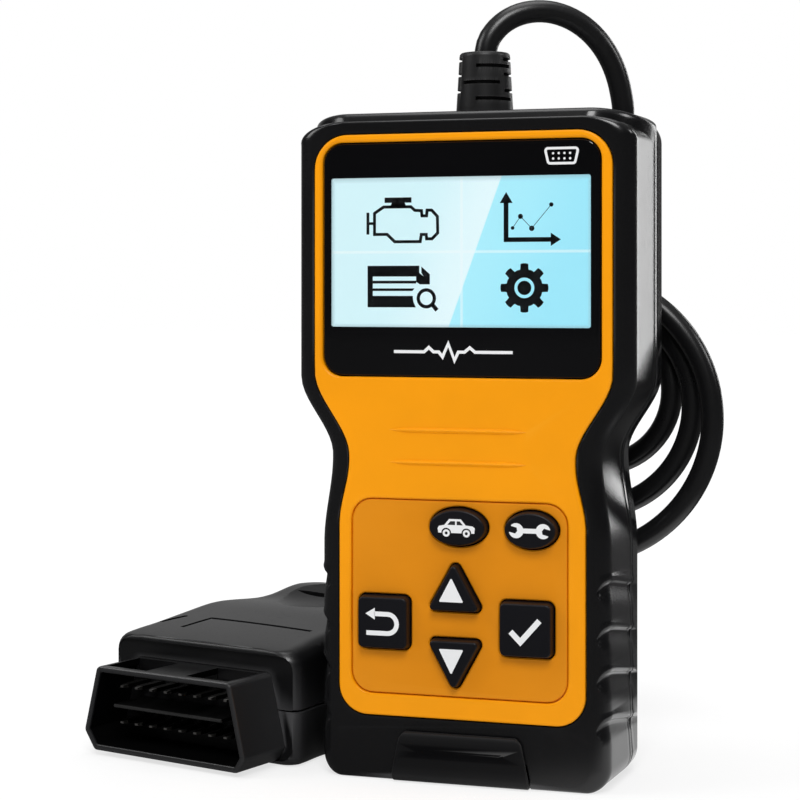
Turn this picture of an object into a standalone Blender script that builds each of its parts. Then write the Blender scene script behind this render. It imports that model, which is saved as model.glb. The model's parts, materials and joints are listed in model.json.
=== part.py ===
"""Handheld vehicle fault-code reader with its 16-pin diagnostic plug and cable.

Frame: metres, +Z up. The handset stands upright on its bottom edge, its face
looks along -Y, and the origin is the centre of its bottom face. The plug lies
on the floor to the left (-X), its pins pointing roughly along -Y.
Lengths below are in millimetres and are scaled once, by MM.
"""

import math

import bmesh
import bpy
from mathutils import Vector

MM = 0.001

# ---------------------------------------------------------------- dimensions
GAP = 0.3                     # running and assembly clearance

# handset housing
HANDSET_TOP = 136.2           # top of the housing
HANDSET_TOP_R = 7.5           # its top corners
FRONT_TOP = 134.3             # top edge of the front face, below the crown
FRONT_TOP_R = 5.5
GRIP_HALF = 30.9              # half width of the grip
FRONT_Y = -11.0               # front face of the housing
PARTING_Y = 8.0               # seam between the two shells
BACK_Y = 15.0                 # back face of the housing
EDGE_R = 4.0                  # rounding of the front edge
BACK_EDGE_R = 2.4             # rounding of the back edge
WALL = 2.2
WEB_Y = -8.0                  # rear face of the wall behind the face plate
ORIGIN_SHIFT_Y = -(FRONT_Y + BACK_Y) / 2    # brings the middle of the depth to y = 0

# Side curves, as half widths. The grip width holds up to grip_end and eases to
# the waist over grip_fade; above WAIST_Z it eases to the head over head_rise.
WAIST_Z = 66.0
HOUSING_SIDES = dict(grip=GRIP_HALF, waist=29.0, head=36.0,
                     grip_end=48.0, grip_fade=17.5, head_rise=16.0)
PLATE_SIDES = dict(grip=25.7, waist=23.6, head=31.1,
                   grip_end=52.0, grip_fade=13.0, head_rise=17.0)
# heights of the outline points between the corner arcs
SIDE_STATIONS = (22.0, 35.0, 48.0, 53.0, 57.5, 62.0, 66.0, 69.0, 71.5, 74.0,
                 76.5, 79.0, 82.5, 95.0, 110.0, 121.0)

# face plate
PLATE_BOTTOM = 13.2
PLATE_TOP = 131.5
PLATE_FRONT = -11.3
PLATE_BACK = -9.9
INLAY = (-0.4, 37.5, 45.4, 39.8, 4.5)     # centre x, z, width, height, corner radius
INLAY_RECESS = 1.0                        # depth of its recess in the plate

# screen
LENS = (-0.2, 106.0, 57.8, 47.3, 4.0)     # centre x, z, width, height, corner radius
SCREEN_X, SCREEN_Z = -0.35, 107.6
SCREEN_W, SCREEN_H = 54.3, 30.8

KEY_FRONT = -13.3             # front faces of the keys

# printed circuit board
PCB_FRONT = -3.4
PCB_BACK = -1.8

# housing screws: x, z
SCREWS = {
    "housing_screw_top_left": (-28.0, 129.2),
    "housing_screw_top_right": (28.0, 129.2),
    "housing_screw_bottom_left": (-21.0, 9.0),
    "housing_screw_bottom_right": (21.0, 9.0),
}
SCREW_HOLE_R = 1.3

# port cover
COVER_HALF_LOW, COVER_HALF_HIGH = 13.4, 11.6
COVER_TOP = 10.1
COVER_TAPER = 8.5             # height over which its width grows
COVER_THICK = 0.9
COVER_Y = -11.75              # middle of the thickness of its front plate
COVER_PIVOT = (0.0, COVER_Y, 9.65)

# cable and its boot on the handset
CABLE_R = 2.35
BOOT_X, BOOT_Y = 0.7, 5.0
RIB_COUNT, RIB_PITCH = 3, 3.1             # shared by both boots

# plug, in its own frame: y runs back from its front face, z up from the floor
PLUG_FRONT_CENTRE = (-60.8, -1.4)         # handset x, y of its front face
PLUG_YAW = math.radians(-15.5)            # about +Z
PLUG_HALF = 24.0
PLUG_PARTING = 11.6
PIVOT_BACK = 80.0                         # cable pivot behind the front face
PIVOT_Z = 12.5
PLUG_PIVOT = Vector((0, PIVOT_BACK, PIVOT_Z))
# the plug's backward direction and its pivot in the handset's frame
PLUG_BACKWARD = Vector((-math.sin(PLUG_YAW), math.cos(PLUG_YAW), 0))
PIVOT_PLACE = Vector((*PLUG_FRONT_CENTRE, PIVOT_Z)) + PLUG_BACKWARD * PIVOT_BACK
# plan outline of the plug: y, half width
PLUG_STATIONS = (
    (0.0, 22.6), (0.7, 23.6), (2.0, PLUG_HALF), (12.0, PLUG_HALF), (24.0, PLUG_HALF),
    (31.0, PLUG_HALF), (36.0, 22.8), (40.5, 20.2), (45.0, 18.0), (50.0, 17.0),
    (55.0, 16.8), (59.0, 15.8), (62.5, 13.0), (65.0, 9.6), (66.0, 7.2))
PLUG_LENGTH = PLUG_STATIONS[-1][0]
SHROUD_OUT = 13.0                         # how far the pin shroud stands out
SHROUD_BOTTOM, SHROUD_TOP = 2.1, 19.2
SHROUD_WIDE, SHROUD_NARROW = 20.9, 17.9   # half widths, low and high
SHROUD_CUT_W, SHROUD_CUT_H = 2.7, 3.9     # slanted bottom corners
PIN_XS = [(k - 3.5) * 4.0 for k in range(8)]
PIN_ROWS = (14.6, 6.9)                    # z, upper row first

# ----------------------------------------------------------------- materials
MATERIALS = {
    "black_plastic": dict(colour=(0.012, 0.012, 0.013), roughness=0.42),
    "black_rubber": dict(colour=(0.02, 0.02, 0.021), roughness=0.6),
    "orange_plastic": dict(colour=(0.93, 0.36, 0.005), roughness=0.33),
    "dark_orange": dict(colour=(0.74, 0.26, 0.003), roughness=0.38),
    "key_plastic": dict(colour=(0.014, 0.014, 0.015), roughness=0.35),
    "lens": dict(colour=(0.008, 0.008, 0.01), roughness=0.08),
    "display": dict(colour=(0.45, 0.83, 0.95), roughness=0.3),
    "light_guide": dict(colour=(0.85, 0.9, 0.92), roughness=0.4),
    "steel": dict(colour=(0.55, 0.55, 0.56), roughness=0.35, metallic=1.0),
    "brass": dict(colour=(0.72, 0.56, 0.3), roughness=0.3, metallic=1.0),
    "pcb_green": dict(colour=(0.02, 0.16, 0.06), roughness=0.45),
    "chip_black": dict(colour=(0.02, 0.02, 0.02), roughness=0.5),
    "connector_white": dict(colour=(0.82, 0.8, 0.74), roughness=0.45),
    "silicone_grey": dict(colour=(0.35, 0.36, 0.37), roughness=0.65),
    "cable_jacket": dict(colour=(0.015, 0.015, 0.016), roughness=0.5),
}


def make_material(name, colour, roughness, metallic=0.0):
    mat = bpy.data.materials.new(name)
    mat.use_nodes = True
    inputs = mat.node_tree.nodes["Principled BSDF"].inputs
    inputs["Base Color"].default_value = (*colour, 1.0)
    inputs["Roughness"].default_value = roughness
    inputs["Metallic"].default_value = metallic
    mat.diffuse_color = (*colour, 1.0)
    return mat


# ------------------------------------------------------------ mesh and object
def clear_scene():
    for ob in list(bpy.data.objects):
        bpy.data.objects.remove(ob, do_unlink=True)


def add_rings(shape, rings, looped=False, capped=True):
    """Joins rings of points into a skin, closed by end caps or by looping
    the last ring back to the first. Returns the rows of vertices."""
    rows = [[shape.verts.new(point) for point in ring] for ring in rings]
    count = len(rings[0])
    pairs = list(zip(rows, rows[1:]))
    if looped:
        pairs.append((rows[-1], rows[0]))
    for row, following in pairs:
        for i in range(count):
            j = (i + 1) % count
            shape.faces.new((row[i], row[j], following[j], following[i]))
    if capped and not looped:
        shape.faces.new(rows[0][::-1])
        shape.faces.new(rows[-1])
    return rows


def solids(*stacks, looped=False):
    """A bmesh with one closed solid for each stack of rings."""
    shape = bmesh.new()
    for rings in stacks:
        add_rings(shape, rings, looped)
    return shape


def mesh_object(name, shape, mat=None, origin=(0, 0, 0), hub=None, sharp_angle=32.0):
    """Makes an object from a bmesh in mm. With a hub, the shape is in the
    plug's frame, and the object is parented to the hub and shares its origin."""
    origin = PLUG_PIVOT if hub else Vector(origin)
    for vert in shape.verts:
        vert.co = (vert.co - origin) * MM
    bmesh.ops.recalc_face_normals(shape, faces=shape.faces)
    mesh = bpy.data.meshes.new(name)
    shape.to_mesh(mesh)
    shape.free()
    ob = bpy.data.objects.new(name, mesh)
    bpy.context.scene.collection.objects.link(ob)
    if hub:
        ob.parent = hub
    else:
        ob.location = origin * MM
        ob.location.y += ORIGIN_SHIFT_Y * MM
    if mat is not None:
        mesh.materials.append(mat)
    mesh.shade_smooth()
    mesh.set_sharp_from_angle(angle=math.radians(sharp_angle))
    return ob


def boolean(targets, name, operation, *stacks, hub=None):
    """Joins the stacks to every target, or cuts them from it, by a hidden tool."""
    tool = mesh_object(name, solids(*stacks), hub=hub)
    tool.hide_render = True
    tool.display_type = "WIRE"
    for target in targets:
        modifier = target.modifiers.new(name, "BOOLEAN")
        modifier.operation = operation
        modifier.solver = "EXACT"
        modifier.object = tool


# -------------------------------------------------------------- ring stacks
def box(low, high):
    (x0, y0, z0), (x1, y1, z1) = low, high
    return [[(x0, y0, z), (x1, y0, z), (x1, y1, z), (x0, y1, z)] for z in (z0, z1)]


def turned(profile, centre, axis, sides):
    """Turns (radius, along) pairs about the Y or Z axis through the centre."""
    rings = []
    for radius, along in profile:
        ring = []
        for i in range(sides):
            angle = 2 * math.pi * (i + 0.5) / sides
            x, across = radius * math.cos(angle), radius * math.sin(angle)
            y, z = (along, across) if axis == "Y" else (across, along)
            ring.append((centre[0] + x, centre[1] + y, centre[2] + z))
        rings.append(ring)
    return rings


def at_y(outline, y):
    return [(x, y, z) for x, z in outline]


def prism(outline, y_start, y_end):
    return [at_y(outline, y_start), at_y(outline, y_end)]


def layers(outline_at, steps):
    """Rings from (offset, y) steps, the offset being passed to outline_at."""
    return [at_y(outline_at(offset), y) for offset, y in steps]


# ------------------------------------------------------------------ outlines
def ease(t):
    """Smooth step from 0 to 1, flat at both ends."""
    t = min(1.0, max(0.0, t))
    return t * t * (3.0 - 2.0 * t)


def quarter_round(radius, steps):
    """(inset, depth) pairs down a quarter-round edge, starting at its face."""
    angles = [math.pi / 2 * k / steps for k in range(steps + 1)]
    return [(radius * (1 - math.sin(a)), radius * (1 - math.cos(a))) for a in angles]


def rounded(corners, radius, steps=4):
    """Closed outline of a convex polygon with its corners rounded."""
    out = []
    count = len(corners)
    for i in range(count):
        corner = Vector(corners[i])
        before = (Vector(corners[i - 1]) - corner).normalized()
        after = (Vector(corners[(i + 1) % count]) - corner).normalized()
        half = math.acos(max(-1.0, min(1.0, before.dot(after)))) / 2
        centre = corner + (before + after).normalized() * (radius / math.sin(half))
        start = corner + before * (radius / math.tan(half)) - centre
        turn = (math.pi - 2 * half) / steps
        if before.x * after.y - before.y * after.x > 0:
            turn = -turn
        for k in range(steps + 1):
            cos, sin = math.cos(turn * k), math.sin(turn * k)
            out.append((centre.x + start.x * cos - start.y * sin,
                        centre.y + start.x * sin + start.y * cos))
    return out


def grown(corners, grow):
    """The convex polygon with each side moved outwards by grow."""
    edges = list(zip(corners, corners[1:] + corners[:1]))
    area = sum(p[0] * q[1] - q[0] * p[1] for p, q in edges)
    side = 1.0 if area > 0 else -1.0
    lines = []
    for start, end in edges:
        along = (Vector(end) - Vector(start)).normalized()
        outward = Vector((along.y, -along.x)) * side
        lines.append((Vector(start) + outward * grow, along))
    out = []
    for i in range(len(lines)):
        (p, e), (q, f) = lines[i - 1], lines[i]
        t = ((q.x - p.x) * f.y - (q.y - p.y) * f.x) / (e.x * f.y - e.y * f.x)
        out.append((p.x + e.x * t, p.y + e.y * t))
    return out


def rect(x, z, width, height, radius, grow=0.0):
    half_w, half_h = width / 2 + grow, height / 2 + grow
    return rounded([(x - half_w, z - half_h), (x + half_w, z - half_h),
                    (x + half_w, z + half_h), (x - half_w, z + half_h)],
                   max(0.3, radius + grow))


def oval(x, z, width, height, grow):
    angles = [2 * math.pi * i / 24 for i in range(24)]
    return [(x + (width / 2 + grow) * math.cos(a),
             z + (height / 2 + grow) * math.sin(a)) for a in angles]


def triangle(first, second, third, grow):
    return rounded(grown([first, second, third], grow), 1.0 + grow)


def side_x(sides, z, inset):
    """Half width of a waisted panel at height z, inset square to its edge."""
    def half(height):
        waist = sides["waist"]
        if height < WAIST_Z:
            fade = ease((height - sides["grip_end"]) / sides["grip_fade"])
            return sides["grip"] + (waist - sides["grip"]) * fade
        return waist + (sides["head"] - waist) * ease((height - WAIST_Z) / sides["head_rise"])
    slope = (half(z + 0.2) - half(z - 0.2)) / 0.4
    return half(z) - inset * math.sqrt(1 + slope * slope)


def mirrored(right_side):
    """Closed outline from its right side, listed from the bottom up."""
    return right_side + [(-x, z) for x, z in reversed(right_side)]


def waisted(sides, bottom, top, bottom_r, top_r, inset, end_inset):
    """Outline of a waisted panel, from its bottom right corner round, inset
    by inset at the sides and by end_inset at the top and bottom."""
    low, high = bottom + end_inset, top - end_inset
    bottom_r, top_r = max(0.8, bottom_r - end_inset), max(0.8, top_r - end_inset)
    arc = [math.pi / 2 * k / 4 for k in range(5)]
    bottom_x = side_x(sides, low + bottom_r, inset) - bottom_r
    top_x = side_x(sides, high - top_r, inset) - top_r
    right = [(bottom_x + bottom_r * math.cos(a - math.pi / 2),
              low + bottom_r + bottom_r * math.sin(a - math.pi / 2)) for a in arc]
    right += [(side_x(sides, z, inset), z) for z in SIDE_STATIONS]
    right += [(top_x + top_r * math.cos(a), high - top_r + top_r * math.sin(a)) for a in arc]
    return mirrored(right)


def housing(inset, top=HANDSET_TOP, top_r=HANDSET_TOP_R, end_share=1.0):
    return waisted(HOUSING_SIDES, 0.0, top, 8.0, top_r, inset, end_share * inset)


def plate(inset):
    return waisted(PLATE_SIDES, PLATE_BOTTOM, PLATE_TOP, 6.0, 7.0, inset, inset)


# Key outlines. oval: centre x, z, width, height. triangle: three corners.
# rect: centre x, z, width, height, corner radius.
KEYS = {
    "key_vin": (oval, (-0.2, 52.1, 12.0, 7.6)),
    "key_dtc": (oval, (14.9, 52.0, 10.9, 7.5)),
    "key_up": (triangle, ((-6.8, 35.1), (5.0, 35.1), (-0.9, 45.6))),
    "key_down": (triangle, ((-0.9, 18.7), (5.0, 29.5), (-6.8, 29.5))),
    "key_back": (rect, (-15.9, 32.3, 10.8, 10.8, 1.3)),
    "key_ok": (rect, (13.9, 32.2, 10.9, 11.0, 1.3)),
}


def key_outline(name, grow=0.0):
    shape, sizes = KEYS[name]
    return shape(*sizes, grow)


# ------------------------------------------------------------ handset shells
def key_holes(y_start, y_end):
    return [prism(key_outline(name, GAP), y_start, y_end) for name in KEYS]


def at_screws(profile, sides=16):
    return [turned(profile, (x, 0, z), "Y", sides) for x, z in SCREWS.values()]


def boot_bore():
    """Hole for the cable boot through the top wall, shared by both shells."""
    return turned([(3.8, 128.0), (3.8, 140.0)], (BOOT_X, BOOT_Y, 0), "Z", 20)


def grip_scallops():
    """Shallow grooves down both sides of the grip."""
    half_height = 1.3
    stacks = []
    for side in (-1, 1):
        for middle in (42.6, 33.5, 24.6, 15.4):
            front = [(-9.9 + 0.9 * abs(t), middle + half_height * t)
                     for t in (-1, -0.5, 0, 0.5, 1)]
            back = [(6.5, middle + half_height * t) for t in (1, 0, -1)]
            stacks.append([[(x, y, z) for y, z in front + back]
                           for x in sorted((side * (GRIP_HALF - 0.5), side * (GRIP_HALF + 2.0)))])
    return stacks


def front_shell(mats):
    # the rounded front edge insets the top and bottom half as far as the sides
    rings = [at_y(housing(inset, FRONT_TOP, FRONT_TOP_R, 0.5), FRONT_Y + depth)
             for inset, depth in quarter_round(EDGE_R, 4)]
    rings += layers(housing, [(0.0, FRONT_Y + EDGE_R + 2.0), (0.0, PARTING_Y),
                              (WALL, PARTING_Y), (WALL, WEB_Y + 3.0)])
    rings.append(at_y(housing(WALL + 1.6, FRONT_TOP, FRONT_TOP_R), WEB_Y))
    shell = [mesh_object("front_shell", solids(rings), mats["black_plastic"])]

    boolean(shell, "boss_union", "UNION",
            *at_screws([(2.5, WEB_Y - 0.7), (2.5, PARTING_Y - 0.5)]))
    boolean(shell, "plate_recess", "DIFFERENCE",
            prism(plate(-GAP), FRONT_Y - 4, PLATE_BACK + GAP))
    window = rect(SCREEN_X, SCREEN_Z, SCREEN_W + 1.2, SCREEN_H + 1.2, 0.8)
    boolean(shell, "front_openings", "DIFFERENCE",
            prism(window, FRONT_Y - 4, WEB_Y + 1),
            *key_holes(FRONT_Y - 4, WEB_Y + 1),
            *at_screws([(SCREW_HOLE_R, -6.0), (SCREW_HOLE_R, PARTING_Y + 1.0)], sides=12),
            boot_bore())
    # recess and socket opening under the port cover, at the bottom edge
    recess_half = COVER_HALF_LOW + GAP
    boolean(shell, "cover_recess", "DIFFERENCE",
            box((-recess_half, -14.0, -1.0), (recess_half, -1.6, 1.7)))
    boolean(shell, "port_opening", "DIFFERENCE", box((-4.3, -6.9, -2.0), (4.3, -3.2, 5.0)))
    boolean(shell, "grip_scallops", "DIFFERENCE", *grip_scallops())


def back_shell(mats):
    rim_y = PARTING_Y + GAP
    rings = [at_y(housing(inset), BACK_Y - depth)
             for inset, depth in quarter_round(BACK_EDGE_R, 3)]
    rings += layers(housing, [(0.0, rim_y), (WALL, rim_y),
                              (WALL, BACK_Y - 3.2), (WALL + 1.4, BACK_Y - 1.8)])
    shell = [mesh_object("back_shell", solids(rings), mats["black_plastic"])]
    boolean(shell, "back_boss_union", "UNION",
            *at_screws([(3.3, PARTING_Y - 0.1), (3.3, BACK_Y - 1.0)]))
    # screw holes, each with a counterbore for the head
    seat_y = BACK_Y - 2.3
    holes = at_screws([(SCREW_HOLE_R, PARTING_Y - 1.0), (SCREW_HOLE_R, seat_y),
                       (2.5, seat_y), (2.5, BACK_Y + 2.0)])
    boolean(shell, "back_openings", "DIFFERENCE", *holes, boot_bore())


def screws(mats):
    # radius, y: drive recess, head, shank and tip
    profile = [(0.5, BACK_Y - 1.0), (1.1, BACK_Y - 0.4), (2.1, BACK_Y - 0.4),
               (2.2, BACK_Y - 0.7), (2.2, BACK_Y - 2.0), (1.0, BACK_Y - 2.0),
               (1.0, -4.4), (0.4, -5.2)]
    for name, (x, z) in SCREWS.items():
        mesh_object(name, solids(turned(profile, (x, 0, z), "Y", 14)), mats["steel"])


# --------------------------------------------------------- face plate and keys
def face_plate(mats):
    rings = layers(plate, [(0.0, PLATE_BACK), (0.0, PLATE_FRONT + 0.35),
                           (0.1, PLATE_FRONT + 0.1), (0.35, PLATE_FRONT)])
    panel = [mesh_object("face_plate", solids(rings), mats["orange_plastic"])]
    boolean(panel, "inlay_recess", "DIFFERENCE",
            prism(rect(*INLAY, GAP), PLATE_FRONT - 2, PLATE_FRONT + INLAY_RECESS))
    boolean(panel, "plate_openings", "DIFFERENCE",
            prism(rect(*LENS, GAP), PLATE_FRONT - 3, PLATE_BACK + 1),
            *key_holes(PLATE_FRONT - 3, PLATE_BACK + 1))


def keypad_inlay(mats):
    back, front = PLATE_FRONT + INLAY_RECESS - GAP, PLATE_FRONT + 0.2
    rings = layers(lambda grow: rect(*INLAY, grow),
                   [(0.0, back), (0.0, front + 0.15), (-0.15, front)])
    inlay = mesh_object("keypad_inlay", solids(rings), mats["dark_orange"])
    boolean([inlay], "inlay_openings", "DIFFERENCE",
            *key_holes(PLATE_FRONT - 3, PLATE_BACK + 1))


def keys(mats):
    # growth, y: a flange behind the wall, then the key up to its softened face
    steps = [(0.9, WEB_Y + 1.3), (0.9, WEB_Y + GAP), (0.0, WEB_Y + GAP - 0.02),
             (0.0, KEY_FRONT + 0.7), (-0.2, KEY_FRONT + 0.2), (-0.7, KEY_FRONT)]
    for name in KEYS:
        rings = layers(lambda grow: key_outline(name, grow), steps)
        points = key_outline(name)
        x = sum(point[0] for point in points) / len(points)
        z = sum(point[1] for point in points) / len(points)
        mesh_object(name, solids(rings), mats["key_plastic"], origin=(x, KEY_FRONT, z))


# ------------------------------------------------------- screen and electronics
def slab(name, size, y_front, y_back, mat):
    """Rounded rectangle with a small bevel round its front edge."""
    bevel = 0.2
    rings = layers(lambda grow: rect(*size, grow),
                   [(-bevel, y_front), (0.0, y_front + bevel), (0.0, y_back)])
    mesh_object(name, solids(rings), mat)


def lcd_frame(mats):
    """Pressed metal frame, open at the back, with a window in front."""
    outer = rect(SCREEN_X, SCREEN_Z, 58.2, 36.4, 1.0)
    inner = rect(SCREEN_X, SCREEN_Z, 57.0, 35.2, 0.6)
    window = rect(SCREEN_X, SCREEN_Z, SCREEN_W + 0.6, SCREEN_H + 0.6, 0.4)
    front, lip_back, back = -7.7, -7.1, -4.6
    rings = (prism(outer, front, back) + prism(inner, back, lip_back)
             + prism(window, lip_back, front))
    mesh_object("lcd_frame", solids(rings, looped=True), mats["steel"])


def screen_parts(mats):
    slab("screen_lens", LENS, -11.15, PLATE_BACK, mats["lens"])
    lcd_frame(mats)
    panel = (SCREEN_X, SCREEN_Z, 56.2, 34.4, 0.4)
    slab("lcd_panel", panel, -6.8, -5.7, mats["display"])
    slab("backlight", panel, -5.4, -3.9, mats["light_guide"])


def main_pcb(mats):
    outline = mirrored([(24.0 + 5.6 * ease((z - 69.0) / 14.0), z)
                        for z in (14.0, 40.0, 68.0, 72.0, 76.0, 80.0, 84.0, 126.0)])
    mesh_object("main_pcb", solids(prism(outline, PCB_FRONT, PCB_BACK)), mats["pcb_green"])


# parts on the back of the board: name, x, z, width, height, thickness, material
CHIPS = (
    ("mcu_chip", 0.0, 76.0, 12.0, 12.0, 1.5, "chip_black"),
    ("can_transceiver_chip", -12.0, 46.0, 5.0, 6.0, 1.6, "chip_black"),
    ("voltage_regulator", 12.0, 42.0, 6.6, 6.2, 2.2, "chip_black"),
    ("clock_crystal", 13.0, 74.0, 5.0, 3.2, 1.0, "steel"),
    ("cable_header", BOOT_X, 120.0, 12.0, 6.0, 4.6, "connector_white"),
)
PART_SEAT = PCB_BACK + GAP


def chips(mats):
    for name, x, z, width, height, thickness, mat in CHIPS:
        top = PART_SEAT + thickness
        rings = layers(lambda grow: rect(x, z, width, height, 0.3, grow),
                       [(0.0, PART_SEAT), (0.0, top - 0.2), (-0.2, top)])
        mesh_object(name, solids(rings), mats[mat])


def supply_capacitor(mats):
    profile = [(2.9, PART_SEAT), (3.15, PART_SEAT + 0.3),
               (3.15, PART_SEAT + 6.6), (2.8, PART_SEAT + 7.0)]
    mesh_object("supply_capacitor", solids(turned(profile, (-13.0, 0, 62.0), "Y", 20)),
                mats["steel"])


def service_socket(mats):
    """Metal cup below the board and just in front of it, mouth down."""
    def ring(grow, z):
        # in plan the rectangle's second coordinate is y
        right, front, back = 3.7 + grow, -6.3 - grow, -3.9 + grow
        corners = [(-right, front), (right, front), (right, back), (-right, back)]
        return [(x, y, z) for x, y in rounded(corners, 0.5 + grow)]
    mouth, thickness = 2.9, 0.35
    rings = [ring(0.0, 11.5), ring(0.0, mouth), ring(-thickness, mouth), ring(-thickness, 10.8)]
    mesh_object("service_socket", solids(rings), mats["steel"])


def key_mat(mats):
    """Silicone mat behind the keys."""
    slab("key_mat", (0.0, 37.4, 42.0, 38.0, 3.0), -5.4, -3.7, mats["silicone_grey"])


# --------------------------------------------------------- port cover and boots
def port_cover(mats):
    """L-shaped rubber cover: a plate up the front and a lip under the bottom edge."""
    # y, z down the middle of the thickness
    bend_z, bend_r = 2.0, 1.15
    bend_y = COVER_Y + bend_r
    lip_z = bend_z - bend_r
    middle = [(COVER_Y, COVER_TOP), (COVER_Y, 8.0), (COVER_Y, 5.0)]
    for k in range(5):
        angle = math.pi / 2 * k / 4
        middle.append((bend_y - bend_r * math.cos(angle), bend_z - bend_r * math.sin(angle)))
    middle += [(-6.0, lip_z), (-2.0, lip_z)]
    rings = []
    for i, (y, z) in enumerate(middle):
        before = Vector(middle[max(0, i - 1)])
        after = Vector(middle[min(len(middle) - 1, i + 1)])
        along = (after - before).normalized()
        out_y, out_z = along.y * COVER_THICK / 2, -along.x * COVER_THICK / 2
        half = (COVER_HALF_HIGH + (COVER_HALF_LOW - COVER_HALF_HIGH)
                * min(1.0, (COVER_TOP - z) / COVER_TAPER))
        across = (-half, -half * 0.3, half * 0.3, half)
        rings.append([(x, y + out_y, z + out_z) for x in across]
                     + [(x, y - out_y, z - out_z) for x in reversed(across)])
    mesh_object("port_cover", solids(rings), mats["black_rubber"],
                origin=COVER_PIVOT, sharp_angle=40)


def ribs(start, radius, taper, rib):
    """Profile of the boot ribs, each a list of (radius change, along) steps."""
    return [(radius - taper * k + change, start + RIB_PITCH * k + along)
            for k in range(RIB_COUNT) for change, along in rib]


def handset_boot(mats):
    """Ribbed strain relief: a flange inside the housing, a neck and a bellows."""
    bore = CABLE_R + GAP
    profile = [(bore, 131.4), (5.2, 131.4), (5.2, 133.4), (3.4, 133.4), (3.4, 136.5), (5.8, 136.5)]
    profile += ribs(138.4, 5.8, 0.25, ((0.0, 0.0), (-0.9, 0.15), (-0.9, 1.15), (-0.1, 1.3)))
    profile += [(5.0, 147.3), (4.6, 148.0), (bore, 148.0)]
    rings = turned(profile, (BOOT_X, BOOT_Y, 0), "Z", 20)
    mesh_object("handset_boot", solids(rings, looped=True), mats["black_rubber"])


# --------------------------------------------------------------------- cable
# heights of the straight start of the cable
CABLE_START_ZS = (127.5, 134.0, 141.0, 146.5)
# the coil at quarter turns, from the left by way of the bottom: x, z, radius, y
COIL_QUARTERS = (
    (14.8, 72.5, 29.5, 19.6), (15.8, 72.5, 29.5, 21.0), (15.9, 72.5, 29.5, 23.2),
    (15.9, 72.6, 29.4, 25.4), (17.2, 74.0, 24.8, 26.2), (18.3, 74.8, 22.2, 26.6),
    (18.5, 75.0, 22.0, 27.2), (18.7, 75.3, 21.6, 29.4), (19.1, 77.0, 18.4, 30.4),
    (19.4, 78.0, 16.2, 30.6), (19.4, 78.0, 16.0, 30.8), (19.2, 78.0, 16.0, 33.6))
QUARTER_STEPS = 8
# x, y, z from the top of the inner loop down and round to the plug
CABLE_TAIL = (
    (4.5, 36.6, 87.0), (-6.0, 39.0, 70.0), (-10.0, 43.0, 50.0), (-11.5, 52.0, 31.0),
    (-13.5, 66.0, 18.0), (-17.0, 81.0, 13.0), (-24.5, 90.0, 12.5), (-32.5, 90.5, 12.5))


def coil_point(quarter):
    i = min(len(COIL_QUARTERS) - 2, int(quarter))
    t = quarter - i
    *here, here_y = COIL_QUARTERS[i]
    *following, following_y = COIL_QUARTERS[i + 1]
    x, z, radius = (a + (b - a) * ease(t) for a, b in zip(here, following))
    y = here_y + (following_y - here_y) * t
    angle = math.pi + math.pi / 2 * quarter
    return Vector((x + radius * math.cos(angle), y, z + radius * math.sin(angle)))


def arch_points():
    """Over to the right and back from the top of the boot."""
    steps = 12
    points = []
    for i in range(1, steps + 1):
        t = i / steps
        angle = math.pi * t
        points.append(Vector((BOOT_X + 26.2 * (1 - math.cos(angle)) / 2,
                              BOOT_Y + 15.0 * ease(t),
                              148.0 + 11.5 * math.sin(angle) - 12.0 * t ** 3)))
    return points


def descent_points(start, end):
    """Cubic Hermite curve that leaves start and reaches end heading down."""
    tangent = Vector((0, 0, -62))
    points = []
    for i in range(1, 8):
        t = i / 8
        point = (start * (2 * t ** 3 - 3 * t ** 2 + 1) + tangent * (t ** 3 - 2 * t ** 2 + t)
                 + end * (-2 * t ** 3 + 3 * t ** 2) + tangent * (t ** 3 - t ** 2))
        # the depth settles earlier than the curve does
        point.y = start.y + (end.y - start.y) * ease(t * 1.6)
        points.append(point)
    return points


def cable_path():
    """Centre line: out of the handset, over in an arch, down behind it, round
    nearly three shrinking loops, then down to the back of the plug."""
    points = [Vector((BOOT_X, BOOT_Y, z)) for z in CABLE_START_ZS]
    points += arch_points()
    points += descent_points(points[-1], coil_point(0.0))
    turns = (len(COIL_QUARTERS) - 1) * QUARTER_STEPS
    points += [coil_point(i / QUARTER_STEPS) for i in range(turns + 1)]
    points += [Vector(point) for point in CABLE_TAIL]
    end = PIVOT_PLACE + PLUG_BACKWARD * 3.6
    return points + [end + PLUG_BACKWARD * 2.2, end]


def spline(points):
    """Catmull-Rom curve, with one or two steps between neighbouring points."""
    path = []
    for i in range(len(points) - 1):
        p0, p1 = points[max(0, i - 1)], points[i]
        p2, p3 = points[i + 1], points[min(len(points) - 1, i + 2)]
        steps = max(1, min(2, round((p2 - p1).length / 4.0)))
        for j in range(steps):
            t = j / steps
            path.append(0.5 * ((2 * p1) + (p2 - p0) * t
                               + (2 * p0 - 5 * p1 + 4 * p2 - p3) * t ** 2
                               + (3 * p1 - p0 - 3 * p2 + p3) * t ** 3))
    return path + [points[-1]]


def sweep(path, radius, sides):
    """Rings of a tube along the path, carried along it without twist."""
    angles = [2 * math.pi * k / sides for k in range(sides)]
    tangent = (path[1] - path[0]).normalized()
    side = tangent.orthogonal().normalized()
    rings = []
    for i, point in enumerate(path):
        ahead = (path[min(i + 1, len(path) - 1)] - path[max(i - 1, 0)]).normalized()
        side = tangent.rotation_difference(ahead) @ side
        tangent = ahead
        side = (side - tangent * side.dot(tangent)).normalized()
        normal = tangent.cross(side)
        rings.append([point + (side * math.cos(a) + normal * math.sin(a)) * radius
                      for a in angles])
    return rings


def cable(mats):
    rings = sweep(spline(cable_path()), CABLE_R, 10)
    mesh_object("cable", solids(rings), mats["cable_jacket"], sharp_angle=60)


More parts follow.
